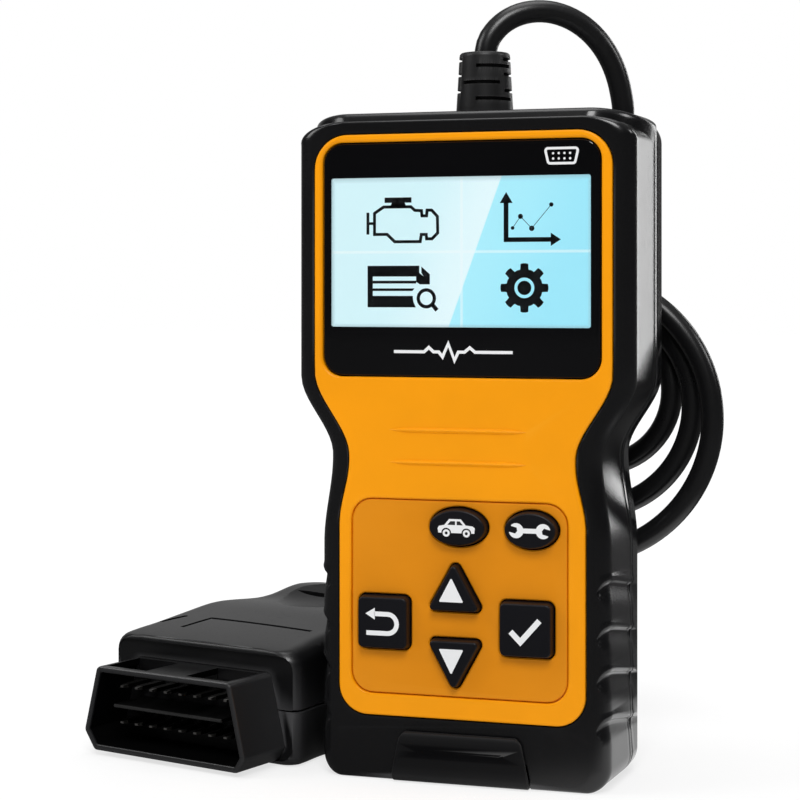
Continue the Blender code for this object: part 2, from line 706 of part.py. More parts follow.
# ---------------------------------------------------------------------- plug
def plug_hub():
    """Empty at the cable pivot; it carries every piece of the plug."""
    hub = bpy.data.objects.new("plug_pivot", None)
    bpy.context.scene.collection.objects.link(hub)
    hub.location = PIVOT_PLACE * MM
    hub.location.y += ORIGIN_SHIFT_Y * MM
    hub.rotation_euler = (0, 0, PLUG_YAW)
    return hub


def plug_top(y):
    """Height of the top: rising to the back, falling at the tail."""
    t = min(1.0, max(0.0, y / 36.0))
    front_z, front_rise, neck_rise, tail_drop = 23.2, 4.0, 2.0, 6.0
    return (front_z + front_rise * (1.25 * t - 0.25 * t ** 5)
            + neck_rise * ease((y - 40.0) / 16.0) - tail_drop * ease((y - 58.5) / 8.5))


def plug_bottom(y):
    """Height of the underside: flat, then rising at the tail."""
    return 4.6 * ease((y - 48.0) / 19.0)


def plug_ring(inset, height_at, rise=0.0):
    scale = (PLUG_LENGTH - 2 * inset) / PLUG_LENGTH
    right = [(half - inset, inset + y * scale) for y, half in PLUG_STATIONS]
    return [(x, y, height_at(y) + rise) for x, y in mirrored(right)]


def plug_half(name, mats, hub, seam_z, surface, outer, inner):
    """A moulded half. outer runs to the seam and inner from it, both as
    (inset, rise above the surface); two rings between them form the rim."""
    rings = [plug_ring(inset, surface, rise) for inset, rise in outer]
    rings += [plug_ring(inset, lambda y: seam_z) for inset in (0.0, 2.0)]
    rings += [plug_ring(inset, surface, rise) for inset, rise in inner]
    shape = bmesh.new()
    rows = add_rings(shape, rings, capped=False)
    # the curved end faces are strips of quads from side to side
    count = len(rows[0])
    for row in (rows[0], rows[-1]):
        for i in range(count // 2 - 1):
            shape.faces.new((row[i], row[i + 1], row[count - 2 - i], row[count - 1 - i]))
    return mesh_object(name, shape, mats["black_plastic"], hub=hub)


def thumb_dish():
    """Spherical hollow in the top, over the narrow rear part."""
    radius, centre_y, depth = 32.0, 43.0, 1.0
    profile = []
    for k in range(7):
        angle = math.radians(2.5 + 3.6 * k)
        profile.append((radius * math.sin(angle), -radius * math.cos(angle)))
    rim_r, rim_z = profile[-1]
    profile.append((rim_r, rim_z + 4))
    return turned(profile, (0, centre_y, plug_top(centre_y) - depth + radius), "Z", 20)


def plug_shells(mats, hub):
    top = plug_half("plug_top_shell", mats, hub, PLUG_PARTING + GAP / 2, plug_top,
                    outer=((2.2, 0.0), (0.7, -0.7), (0.0, -2.2)),
                    inner=((2.2, -3.4), (3.6, -2.4)))
    bottom = plug_half("plug_bottom_shell", mats, hub, PLUG_PARTING - GAP / 2, plug_bottom,
                       outer=((2.0, 0.0), (0.6, 0.6), (0.0, 2.0)),
                       inner=((2.2, 3.0), (3.4, 2.0)))
    # opening for the pin shroud, and the bore for the cable boot
    boolean([top, bottom], "plug_end_openings", "DIFFERENCE",
            [shroud(-GAP, -3.0), shroud(-GAP, 5.5)],
            turned([(4.0, 60.4), (4.0, 68.6)], (0, 0, PIVOT_Z), "Y", 16), hub=hub)
    boolean([top], "thumb_dish", "DIFFERENCE", thumb_dish(), hub=hub)


def shroud(inset, y):
    """Ring round the pin shroud, wide side down."""
    corners = [(-SHROUD_WIDE, SHROUD_BOTTOM + SHROUD_CUT_H),
               (-SHROUD_WIDE + SHROUD_CUT_W, SHROUD_BOTTOM),
               (SHROUD_WIDE - SHROUD_CUT_W, SHROUD_BOTTOM),
               (SHROUD_WIDE, SHROUD_BOTTOM + SHROUD_CUT_H),
               (SHROUD_NARROW, SHROUD_TOP), (-SHROUD_NARROW, SHROUD_TOP)]
    return at_y(rounded(grown(corners, -inset), max(0.4, 1.3 - inset), 2), y)


def plug_insert(mats, hub):
    """Pin shroud and pin block in one; the pins pass through the block."""
    # inset, y: from the back forward, over the lip and into the floor of the shroud
    steps = ((0.4, 7.0), (0.0, 6.6), (0.0, -SHROUD_OUT + 0.4),
             (0.3, -SHROUD_OUT), (1.2, -SHROUD_OUT), (1.3, -1.0))
    rings = [shroud(inset, y) for inset, y in steps]
    insert = [mesh_object("plug_insert", solids(rings), mats["black_plastic"], hub=hub)]
    # bar between the two rows of pins
    boolean(insert, "divider_union", "UNION",
            box((-14.6, -9.5, 10.3), (14.6, 1.0, 11.3)), hub=hub)
    holes = [box((x - 1.05, -3.0, z - 0.7), (x + 1.05, 9.0, z + 0.7))
             for z in PIN_ROWS for x in PIN_XS]
    # two slots through the top wall of the shroud
    slots = [box((left, -11.6, 16.8), (right, -0.8, 21.0))
             for left, right in ((-16.4, -5.3), (5.3, 16.4))]
    boolean(insert, "pin_holes", "DIFFERENCE", *holes, *slots, hub=hub)


def pins(mats, hub):
    # y, half width, half height: a flat blade with a tapered tip
    sections = ((10.0, 0.75, 0.4), (-8.2, 0.75, 0.4), (-9.4, 0.4, 0.2))
    places = [(x, z) for z in PIN_ROWS for x in PIN_XS]
    for number, (x, z) in enumerate(places, start=1):
        rings = [[(x - half_w, y, z - half_h), (x + half_w, y, z - half_h),
                  (x + half_w, y, z + half_h), (x - half_w, y, z + half_h)]
                 for y, half_w, half_h in sections]
        mesh_object(f"pin_{number:02d}", solids(rings), mats["brass"], hub=hub)


def plug_boot(mats, hub):
    """Flexible boot: a flange inside the shells, a ribbed tail and a domed end."""
    profile = [(1.4, 57.8), (5.0, 57.8), (5.0, 59.6), (3.7, 59.8), (3.7, 67.4), (4.9, 67.6)]
    profile += ribs(69.2, 4.8, 0.35, ((0.0, 0.0), (-0.8, 0.15), (-0.8, 1.05), (-0.15, 1.2)))
    dome_r = 3.2
    for k in range(5):
        angle = math.radians(8 + 18 * k)
        profile.append((dome_r * math.cos(angle), PIVOT_BACK + dome_r * math.sin(angle)))
    rings = turned(profile, (0, 0, PIVOT_Z), "Y", 18)
    mesh_object("plug_boot", solids(rings), mats["black_rubber"], hub=hub)


# --------------------------------------------------------------------- build
def build():
    clear_scene()
    mats = {name: make_material(name, **look) for name, look in MATERIALS.items()}
    for make_part in (front_shell, back_shell, face_plate, keypad_inlay, keys,
                      screen_parts, main_pcb, chips, supply_capacitor, service_socket,
                      key_mat, screws, port_cover, handset_boot, cable):
        make_part(mats)
    hub = plug_hub()
    for make_part in (plug_shells, plug_insert, pins, plug_boot):
        make_part(mats, hub)
    bpy.context.view_layer.update()


build()
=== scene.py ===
"""Looks of a handheld vehicle fault-code reader, its coiled cable and its plug.

The handset stands upright with its screen and keys to the front (-y), x to the right and z up.
The plug lies on the floor to its left with its open end to the front, turned a little outward.

Lengths are millimetres in the drawing frame. piece() moves them 2 mm to the front and turns
them into metres.
"""

import json
import math

import bmesh
import bpy
from mathutils import Matrix, Vector


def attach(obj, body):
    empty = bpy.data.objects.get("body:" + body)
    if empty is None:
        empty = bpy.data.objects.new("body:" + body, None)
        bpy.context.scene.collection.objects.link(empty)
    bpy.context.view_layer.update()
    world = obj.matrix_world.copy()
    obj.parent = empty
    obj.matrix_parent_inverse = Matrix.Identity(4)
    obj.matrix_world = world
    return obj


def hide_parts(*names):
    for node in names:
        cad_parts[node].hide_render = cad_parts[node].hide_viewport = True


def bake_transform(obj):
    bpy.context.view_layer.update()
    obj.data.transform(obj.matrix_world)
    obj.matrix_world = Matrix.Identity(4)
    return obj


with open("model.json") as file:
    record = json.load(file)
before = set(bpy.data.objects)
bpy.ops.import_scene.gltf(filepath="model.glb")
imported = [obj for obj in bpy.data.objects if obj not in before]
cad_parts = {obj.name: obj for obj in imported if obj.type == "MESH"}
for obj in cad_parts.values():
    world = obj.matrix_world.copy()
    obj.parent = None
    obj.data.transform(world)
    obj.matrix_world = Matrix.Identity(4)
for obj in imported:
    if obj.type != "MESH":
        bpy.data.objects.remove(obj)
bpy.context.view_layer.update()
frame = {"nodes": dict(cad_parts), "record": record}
nodes = frame["nodes"]

MILLI = 0.001
FRAME_SHIFT = Matrix.Translation((0.0, -2.0, 0.0))
CUT, JOIN = "DIFFERENCE", "UNION"

# handset
HANDSET_TOP, FRONT_TOP = 136.2, 134.3
FRONT_Y, PARTING_Y, BACK_Y = -11.0, 8.0, 15.0
EDGE_RADIUS, WALL, WEB_Y, GAP = 4.0, 2.2, -8.0, 0.3
WAIST_Z = 66.0
HANDSET_WIDTHS = dict(grip=30.9, waist=29.0, head=36.0, grip_from=48.0, grip_run=17.5,
                      head_run=16.0)
SCREWS = {"top_left": (-28.0, 129.2), "top_right": (28.0, 129.2),
          "bottom_left": (-21.0, 9.0), "bottom_right": (21.0, 9.0)}  # x, z

# face plate, screen and keys
PLATE_FRONT, PLATE_BACK = -11.6, -9.9
PLATE_BOTTOM, PLATE_TOP = 13.2, 131.5
PLATE_WIDTHS = dict(grip=25.7, waist=23.6, head=31.1, grip_from=52.0, grip_run=13.0,
                    head_run=17.0)
INLAY = (-0.4, 37.5, 45.4, 39.8, 4.5)  # centre x, centre z, width, height, corner radius
LENS = (-0.2, 106.0, 57.8, 47.3, 4.0)  # the same columns
SCREEN_X, SCREEN_Z, SCREEN_WIDTH, SCREEN_HEIGHT = -0.35, 107.42, 54.3, 30.4
LENS_FACE, DISPLAY_FACE, KEY_FACE = -11.15, -10.62, -13.3

# cable and plug
CABLE_RADIUS = 2.35
BOOT_X, BOOT_Y = 0.7, 5.0
PLUG_YAW = math.radians(-15.5)
PLUG_AT = Vector((-60.8, -1.4, 0.0))
PLUG_PLACE = Matrix.Translation(PLUG_AT) @ Matrix.Rotation(PLUG_YAW, 4, "Z")
PIVOT_BACK, PIVOT_Z = 80.0, 12.5  # where the cable leaves the plug, in the plug's own frame


# ------------------------------------------------------------------ mesh tools
def smooth(t):
    t = min(1.0, max(0.0, t))
    return t * t * (3.0 - 2.0 * t)


def between(table, x):
    """Piecewise linear value at x of a table of (x, value)."""
    if x <= table[0][0]:
        return table[0][1]
    for (x0, value0), (x1, value1) in zip(table, table[1:]):
        if x <= x1:
            return value0 + (value1 - value0) * (x - x0) / (x1 - x0)
    return table[-1][1]


def add_rings(mesh, rings, loop=False, cap=True):
    """Skins rings of equal point counts, closed on itself (loop) or with end caps."""
    rows = [[mesh.verts.new(point) for point in ring] for ring in rings]
    count = len(rings[0])
    pairs = list(zip(rows, rows[1:]))
    if loop:
        pairs.append((rows[-1], rows[0]))
    for row, following in pairs:
        for i in range(count):
            j = (i + 1) % count
            mesh.faces.new((row[i], row[j], following[j], following[i]))
    if cap and not loop:
        mesh.faces.new(rows[0][::-1])
        mesh.faces.new(rows[-1])
    return rows


def solid(*parts, loop=False):
    """A bmesh of one or more parts, each a list of rings."""
    mesh = bmesh.new()
    for rings in parts:
        add_rings(mesh, rings, loop)
    return mesh


def box(low, high):
    (x0, y0, z0), (x1, y1, z1) = low, high
    return [[(x0, y0, z), (x1, y0, z), (x1, y1, z), (x0, y1, z)] for z in (z0, z1)]


def turned(profile, centre, axis="Z", segments=48):
    """Rings of a turned shape from (radius, place along the axis) pairs."""
    rings = []
    for radius, along in profile:
        ring = []
        for i in range(segments):
            angle = 2 * math.pi * (i + 0.5) / segments
            across, side = radius * math.cos(angle), radius * math.sin(angle)
            step = (across, side, along) if axis == "Z" else (across, along, side)
            ring.append(tuple(c + s for c, s in zip(centre, step)))
        rings.append(ring)
    return rings


def mesh_object(name, mesh):
    data = bpy.data.meshes.new(name)
    mesh.to_mesh(data)
    mesh.free()
    ob = bpy.data.objects.new(name, data)
    bpy.context.scene.collection.objects.link(ob)
    return ob


def carve(mesh, *steps):
    """The solid after Boolean steps, each (CUT or JOIN, bmesh)."""
    made = []
    for solid_mesh in (mesh, *(tool for _, tool in steps)):
        bmesh.ops.recalc_face_normals(solid_mesh, faces=solid_mesh.faces)
        made.append(mesh_object("work", solid_mesh))
    for (operation, _), tool in zip(steps, made[1:]):
        boolean = made[0].modifiers.new("step", "BOOLEAN")
        boolean.operation = operation
        boolean.solver = "EXACT"
        boolean.object = tool
    graph = bpy.context.evaluated_depsgraph_get()
    result = bpy.data.meshes.new_from_object(made[0].evaluated_get(graph))
    out = bmesh.new()
    out.from_mesh(result)
    for ob in made:
        data = ob.data
        bpy.data.objects.remove(ob)
        bpy.data.meshes.remove(data)
    bpy.data.meshes.remove(result)
    bmesh.ops.dissolve_degenerate(out, edges=out.edges, dist=0.0005)
    return out


def piece(name, mesh, material, body="handset", replaces=None, sharp=32.0,
          weighted=False, ride=True):
    bmesh.ops.recalc_face_normals(mesh, faces=mesh.faces)
    place = FRAME_SHIFT @ PLUG_PLACE if body == "plug" else FRAME_SHIFT
    bmesh.ops.transform(mesh, matrix=Matrix.Scale(MILLI, 4) @ place, verts=mesh.verts)
    ob = mesh_object(name, mesh)
    ob.data.materials.append(materials[material])
    ob.data.shade_smooth()
    ob.data.set_sharp_from_angle(angle=math.radians(sharp))
    if weighted:
        normals = ob.modifiers.new("weighted", "WEIGHTED_NORMAL")
        normals.keep_sharp = True
        normals.weight = 60
    if ride:
        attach(ob, body)
    if replaces:
        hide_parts(replaces)
    return ob


# -------------------------------------------------------------------- outlines
# An outline is a list of (x, z) points.
def rounded(corners, radius, steps=8):
    out = []
    for i in range(len(corners)):
        corner = Vector(corners[i])
        before = (Vector(corners[i - 1]) - corner).normalized()
        after = (Vector(corners[(i + 1) % len(corners)]) - corner).normalized()
        half = math.acos(max(-1.0, min(1.0, before.dot(after)))) / 2
        centre = corner + (before + after).normalized() * (radius / math.sin(half))
        start = corner + before * (radius / math.tan(half)) - centre
        turn = (math.pi - 2 * half) / steps
        if before.x * after.y - before.y * after.x > 0:
            turn = -turn
        for k in range(steps + 1):
            cos, sin = math.cos(turn * k), math.sin(turn * k)
            out.append((centre.x + start.x * cos - start.y * sin,
                        centre.y + start.x * sin + start.y * cos))
    return out


def signed_area(points):
    """Twice the area, positive for counter-clockwise points."""
    return sum(x0 * z1 - x1 * z0
               for (x0, z0), (x1, z1) in zip(points, points[1:] + points[:1]))


def grown(corners, distance):
    """The polygon with every side moved outward."""
    outward = 1.0 if signed_area(corners) > 0 else -1.0
    lines = []
    for start, end in zip(corners, corners[1:] + corners[:1]):
        along = (Vector(end) - Vector(start)).normalized()
        normal = Vector((along.y, -along.x)) * outward
        lines.append((Vector(start) + normal * distance, along))
    out = []
    for i, (point, along) in enumerate(lines):
        last, way = lines[i - 1]
        gap = point - last
        t = (gap.x * along.y - gap.y * along.x) / (way.x * along.y - way.y * along.x)
        out.append((last.x + way.x * t, last.y + way.y * t))
    return out


def oblong(x0, z0, x1, z1):
    return [(x0, z0), (x1, z0), (x1, z1), (x0, z1)]


def rect(centre_x, centre_z, width, height, radius, grow=0.0):
    x, z = width / 2 + grow, height / 2 + grow
    return rounded(oblong(centre_x - x, centre_z - z, centre_x + x, centre_z + z),
                   max(0.15, radius + grow), 10)


def oval(centre_x, centre_z, width, height, grow=0.0):
    angles = [2 * math.pi * i / 72 for i in range(72)]
    return [(centre_x + (width / 2 + grow) * math.cos(angle),
             centre_z + (height / 2 + grow) * math.sin(angle)) for angle in angles]


def triangle(first, second, third, grow=0.0):
    return rounded(grown([first, second, third], grow), max(0.3, 1.0 + grow))


def circle(centre_x, centre_z, radius, count=40, start=0.0):
    angles = [start + 2 * math.pi * i / count for i in range(count)]
    return [(centre_x + radius * math.cos(angle), centre_z + radius * math.sin(angle))
            for angle in angles]


def arc(centre_x, centre_z, radius, start, end, steps):
    """Points of an arc between two angles in degrees."""
    angles = [math.radians(start + (end - start) * i / steps) for i in range(steps + 1)]
    return [(centre_x + radius * math.cos(angle), centre_z + radius * math.sin(angle))
            for angle in angles]


def moved(outline, centre):
    return [(x + centre[0], z + centre[1]) for x, z in outline]


def at_y(outline, y):
    return [(x, y, z) for x, z in outline]


def through(outline, y0, y1):
    """Rings of a straight prism along y."""
    return [at_y(outline, y0), at_y(outline, y1)]


def stack(shape, stations):
    """Rings of an outline function at stations of (its offset, y)."""
    return [at_y(shape(offset), y) for offset, y in stations]


def half_width(z, inset, grip, waist, head, grip_from, grip_run, head_run):
    """Half width at height z, inset square to the side."""
    def half(height):
        if height < WAIST_Z:
            return grip + (waist - grip) * smooth((height - grip_from) / grip_run)
        return waist + (head - waist) * smooth((height - WAIST_Z) / head_run)
    slope = (half(z + 0.2) - half(z - 0.2)) / 0.4
    return half(z) - inset * math.sqrt(1 + slope * slope)


def handset_half(z, inset):
    return half_width(z, inset, **HANDSET_WIDTHS)


def plate_half(z, inset):
    return half_width(z, inset, **PLATE_WIDTHS)


def lens_outline(grow=0.0):
    return rect(*LENS, grow)


def inlay_outline(grow=0.0):
    return rect(*INLAY, grow)


def screen_outline(radius, grow=0.0):
    return rect(SCREEN_X, SCREEN_Z, SCREEN_WIDTH, SCREEN_HEIGHT, radius, grow)


# ------------------------------------------------------------------- materials
WHITE = (1.0, 1.0, 1.0, 1.0)


class Net:
    """Adds and wires the shader nodes of one node tree."""

    def __init__(self, tree, space="Object"):
        self.tree = tree
        self.coord = self.add("ShaderNodeTexCoord").outputs[space]

    def add(self, kind, inputs=None, **props):
        node = self.tree.nodes.new(kind)
        for key, value in props.items():
            setattr(node, key, value)
        for key, value in (inputs or {}).items():
            self.put(node.inputs[key], value)
        return node

    def put(self, socket, value):
        if isinstance(value, bpy.types.NodeSocket):
            self.tree.links.new(value, socket)
        else:
            socket.default_value = value

    def noise(self, scale, detail=2.0, rough=0.5, stretch=None):
        vector = self.coord
        if stretch:
            mapping = self.add("ShaderNodeMapping", {"Scale": stretch, "Vector": vector})
            vector = mapping.outputs["Vector"]
        return self.add("ShaderNodeTexNoise", {
            "Scale": scale, "Detail": detail, "Roughness": rough, "Vector": vector,
        }).outputs["Fac"]

    def cells(self, scale, feature="F1"):
        return self.add("ShaderNodeTexVoronoi", {"Scale": scale, "Vector": self.coord},
                        feature=feature).outputs["Distance"]

    def math(self, operation, first, second=0.0, clamp=False):
        return self.add("ShaderNodeMath", {0: first, 1: second},
                        operation=operation, use_clamp=clamp).outputs[0]

    def ramp(self, value, start, end, low=0.0, high=1.0):
        """Eases from low to high as value runs from start to end."""
        return self.add("ShaderNodeMapRange", {0: value, 1: start, 2: end, 3: low, 4: high},
                        interpolation_type="SMOOTHSTEP").outputs[0]

    def mix(self, amount, first, second):
        first, second = ((*colour, 1.0) if isinstance(colour, tuple) else colour
                         for colour in (first, second))
        return self.add("ShaderNodeMix", {0: amount, 6: first, 7: second},
                        data_type="RGBA").outputs[2]

    def glow(self, strength):
        return self.add("ShaderNodeEmission", {"Color": WHITE, "Strength": strength}).outputs[0]

    def mix_shader(self, amount, first, second):
        return self.add("ShaderNodeMixShader", {0: amount, 1: first, 2: second}).outputs[0]


class MaterialNet(Net):
    """The nodes of a new material, starting from its Principled BSDF."""

    def __init__(self, name):
        self.material = bpy.data.materials.new(name)
        self.material.use_nodes = True
        super().__init__(self.material.node_tree)
        self.bsdf = self.tree.nodes["Principled BSDF"]

    def surface(self, **values):
        """Sets BSDF inputs; an underscore stands for a space in the input's name."""
        for key, value in values.items():
            self.put(self.bsdf.inputs[key.replace("_", " ")], value)


def finish(name, rough, rgb=None, metal=0.0, grain=0.25, depth=0.012, blotch=0.06, tint=0.08,
           wear_and_highlight=0.0, worn_and_lit_rgb=None, spec=0.5, scratch=0.03):
    """A moulded, rubber or metal finish. Without rgb the caller sets the colour.

    grain and depth are the size and height of the surface grain in mm, blotch and tint how
    far roughness and colour drift, wear_and_highlight how strongly convex edges take
    worn_and_lit_rgb (partly edge wear, partly a painted highlight along the edges), and
    scratch the roughness added by faint scratches."""
    net = MaterialNet(name)
    drift = net.noise(scale=55.0, detail=3.0)
    if rgb:
        dark = tuple(c * (1 - tint) for c in rgb)
        light = tuple(min(1.0, c * (1 + tint)) for c in rgb)
        colour = net.mix(net.ramp(drift, start=0.3, end=0.7), dark, light)
        if wear_and_highlight:
            # convex edges lighten towards the edge colour: partly edge wear, partly a painted
            # highlight along the edges
            geometry = net.add("ShaderNodeNewGeometry")
            edges = net.ramp(geometry.outputs["Pointiness"], start=0.52, end=0.62)
            colour = net.mix(net.math("MULTIPLY", edges, wear_and_highlight), colour, worn_and_lit_rgb)
        net.surface(Base_Color=colour)
    fine = net.noise(scale=1.0 / (grain * MILLI), detail=2.0, rough=0.6)
    streaks = net.noise(scale=900.0, detail=1.0, rough=0.5, stretch=(1.0, 1.0, 0.03))
    marks = net.ramp(streaks, start=0.66, end=0.72)
    fine_swing = 0.08  # change of roughness with the grain
    roughness = rough
    for pattern, swing in ((drift, blotch), (fine, fine_swing)):
        centred = net.math("SUBTRACT", pattern, 0.5)
        roughness = net.math("ADD", roughness, net.math("MULTIPLY", centred, swing))
    roughness = net.math("ADD", roughness, net.math("MULTIPLY", marks, scratch), clamp=True)
    bump = net.add("ShaderNodeBump", {"Strength": 0.6, "Distance": depth * MILLI,
                                      "Height": fine})
    net.surface(Roughness=roughness, Normal=bump.outputs["Normal"], Metallic=metal,
                Specular_IOR_Level=spec, Coat_Roughness=0.06)
    return net


# The edge colours are partly edge wear and partly painted highlight; on the housing, the orange
# plate and the port cover they mainly paint thin edge highlights.
FINISHES = {
    "black_plastic": dict(rgb=(0.0055, 0.0055, 0.006), rough=0.22, depth=0.004,
                          wear_and_highlight=1.0, worn_and_lit_rgb=(0.12, 0.12, 0.125)),
    "plug_plastic": dict(rgb=(0.004, 0.004, 0.0045), rough=0.33, grain=0.3,
                         wear_and_highlight=0.55, worn_and_lit_rgb=(0.14, 0.14, 0.145)),
    "black_rubber": dict(rgb=(0.0085, 0.0085, 0.009), rough=0.42, grain=0.22, depth=0.008,
                         wear_and_highlight=0.5, worn_and_lit_rgb=(0.11, 0.11, 0.11), spec=0.35),
    # its edge colour paints thin pale highlights along the plate's edges
    "orange_plastic": dict(rgb=(0.93, 0.335, 0.001), rough=0.36, grain=0.3, depth=0.004,
                           tint=0.03, blotch=0.05, wear_and_highlight=0.5, worn_and_lit_rgb=(1.0, 0.52, 0.06),
                           spec=0.15),
    "dark_orange": dict(rgb=(0.73, 0.245, 0.002), rough=0.45, grain=0.2, depth=0.008,
                        tint=0.03, wear_and_highlight=0.3, worn_and_lit_rgb=(0.9, 0.42, 0.05), spec=0.13),
    # its edge colour paints light highlight lines along the port cover's seams
    "pad_rubber": dict(rgb=(0.003, 0.003, 0.0035), rough=0.3, grain=0.22, depth=0.003,
                       wear_and_highlight=0.3, worn_and_lit_rgb=(0.2, 0.2, 0.2), spec=0.12),
    # Duller copies of the plug plastic for the bore and the divider's tip, the bore's also
    # darker: painted shade inside the shroud.
    "shaded_bore_plastic": dict(rgb=(0.0012, 0.0012, 0.0013), rough=0.6, grain=0.3, depth=0.008,
                         spec=0.04),
    "shaded_divider_plastic": dict(rgb=(0.02, 0.02, 0.02), rough=0.5, grain=0.3, depth=0.008,
                            spec=0.15),
    "back_plastic": dict(rgb=(0.0055, 0.0055, 0.006), rough=0.11, grain=0.3, depth=0.004,
                         blotch=0.02, scratch=0.02, wear_and_highlight=0.25, worn_and_lit_rgb=(0.12, 0.12, 0.125),
                         spec=0.45),
    # darkened pin metal for the pins' shafts: painted shade inside the shroud
    "blade_shaft": dict(rgb=(0.03, 0.03, 0.028), rough=0.4, metal=1.0, grain=0.2, depth=0.004),
    "key_plastic": dict(rgb=(0.006, 0.006, 0.0085), rough=0.4, grain=0.2, depth=0.006,
                        wear_and_highlight=0.4, worn_and_lit_rgb=(0.05, 0.05, 0.055), spec=0.25),
    "lens": dict(rgb=(0.0025, 0.0025, 0.003), rough=0.06, grain=1.2, depth=0.0004,
                 blotch=0.02, scratch=0.02),
    "light_guide": dict(rgb=(0.85, 0.9, 0.92), rough=0.35),
    "steel": dict(rgb=(0.56, 0.56, 0.57), rough=0.3, metal=1.0, grain=0.12, depth=0.004,
                  scratch=0.12, wear_and_highlight=0.3, worn_and_lit_rgb=(0.8, 0.8, 0.8)),
    "brass": dict(rgb=(0.42, 0.41, 0.39), rough=0.32, metal=1.0, grain=0.1, depth=0.003,
                  tint=0.15, scratch=0.1),
    "chip_black": dict(rgb=(0.018, 0.018, 0.018), rough=0.55, grain=0.15, depth=0.01),
    "connector_white": dict(rgb=(0.8, 0.77, 0.68), rough=0.42, grain=0.2),
    "silicone_grey": dict(rgb=(0.33, 0.34, 0.35), rough=0.62, grain=0.3),
    "cable_jacket": dict(rgb=(0.006, 0.006, 0.0065), rough=0.3, grain=0.35, depth=0.003,
                         blotch=0.08, scratch=0.06),
    "print_white": dict(rgb=(0.84, 0.85, 0.86), rough=0.42, grain=0.12, depth=0.003,
                        tint=0.02),
    "print_black": dict(rgb=(0.004, 0.006, 0.009), rough=0.4, grain=0.12, depth=0.002),
}


def circuit_board():
    """Solder mask with copper tracks showing through and small plated dots."""
    net = finish("pcb_green", rough=0.35, grain=0.3)
    borders = net.cells(scale=420.0, feature="DISTANCE_TO_EDGE")
    colour = net.mix(net.ramp(borders, start=0.02, end=0.05),
                     (0.04, 0.26, 0.09), (0.012, 0.12, 0.045))
    pads = net.ramp(net.cells(scale=700.0), start=0.10, end=0.13)
    net.surface(Base_Color=net.mix(pads, (0.62, 0.55, 0.35), colour))
    return net.material


def display_picture():
    """Lit display: a painted glare reflection that leaves it paler left of a slanted line and
    fades away from that line on both sides, a pale cross between the four fields, painted
    shade along the edges and a fine dot structure."""
    net = MaterialNet("display")

    def minus(first, second):
        return net.math("SUBTRACT", first, second)

    def times(first, second):
        return net.math("MULTIPLY", first, second)

    split = net.add("ShaderNodeSeparateXYZ", {0: net.coord})
    x, z = (times(split.outputs[axis], 1000.0) for axis in ("X", "Z"))  # in mm

    # painted glare: a reflection across the window, paler left of this slanted line and fading
    # away from it on both sides
    sheen_x, sheen_z, sheen_slope = 8.46, 122.49, 0.3647  # a point on the line, x per z
    slant = minus(minus(x, sheen_x), times(minus(z, sheen_z), sheen_slope))
    glare_tone = net.mix(net.ramp(slant, start=-16.0, end=0.0),
                        (0.66, 0.91, 0.96), (0.77, 0.95, 0.99))
    clear_of_glare_tone = net.mix(net.ramp(slant, start=0.0, end=22.0),
                         (0.41, 0.86, 0.985), (0.345, 0.81, 0.965))
    colour = net.mix(net.ramp(slant, start=-0.12, end=0.12), glare_tone, clear_of_glare_tone)

    cross_x, cross_z = 0.15, 107.47
    line = net.math("MINIMUM", net.math("ABSOLUTE", minus(x, cross_x)),
                    net.math("ABSOLUTE", minus(z, cross_z)))
    colour = net.mix(net.ramp(line, start=0.18, end=0.36, low=0.5, high=0.0),
                     colour, (0.85, 0.97, 0.99))

    # distance to the nearest edge, with a wider shade along the top
    top = times(minus(SCREEN_Z + SCREEN_HEIGHT / 2, z), 0.7)
    left = minus(x, SCREEN_X - SCREEN_WIDTH / 2)
    right = minus(SCREEN_X + SCREEN_WIDTH / 2, x)
    bottom = minus(z, SCREEN_Z - SCREEN_HEIGHT / 2)
    near = net.math("MINIMUM", net.math("MINIMUM", top, left),
                    net.math("MINIMUM", right, bottom))
    colour = net.mix(net.ramp(near, start=0.0, end=0.9, low=0.45, high=0.0),
                     colour, (0.30, 0.42, 0.46))

    dot_rate = 36.0  # radians per mm
    dots = times(net.math("SINE", times(x, dot_rate)), net.math("SINE", times(z, dot_rate)))
    colour = net.mix(net.ramp(dots, start=0.2, end=1.0, low=0.0, high=0.06),
                     colour, (0.25, 0.45, 0.5))
    darkening = 0.92  # the picture glows, so little of it is reflected colour
    net.surface(Base_Color=net.mix(darkening, colour, (0.0, 0.0, 0.0)), Emission_Color=colour,
                Emission_Strength=1.0, Specular_IOR_Level=0.1, Roughness=0.35)
    return net.material


def clear_window():
    """The clear window over the display."""
    net = MaterialNet("clear_window")
    haze = net.ramp(net.noise(scale=60.0, detail=2.0), start=0.3, end=0.7, low=0.0, high=0.03)
    net.surface(Base_Color=WHITE, Roughness=haze, Transmission_Weight=1.0, IOR=1.3)
    return net.material


materials = {name: finish(name, **values).material for name, values in FINISHES.items()}
materials["pcb_green"] = circuit_board()
materials["display"] = display_picture()
materials["clear_window"] = clear_window()

# ---------------------------------------------------------------- housing shape
CORNER_STEPS = 14
SCALLOPS = (42.2, 32.9, 24.2, 14.7)  # heights of the finger scallops' lips
# (distance round from the front edge, rise of the lip there)
LIP = ((0.0, -3.2), (1.75, -1.7), (2.4, -0.95), (3.2, -0.42), (4.4, -0.1), (6.0, 0.0),
       (9.0, -0.35), (12.0, -0.85), (20.0, -2.2), (28.0, -3.3))
# heights of the mesh rows above and below each lip
LIP_ROWS = (1.6, 1.2, 0.85, 0.55, 0.3, 0.12, 0.0, -0.1, -0.22, -0.36, -0.55, -0.9, -1.4, -2.1,
            -3.0, -4.0, -5.1, -6.3)
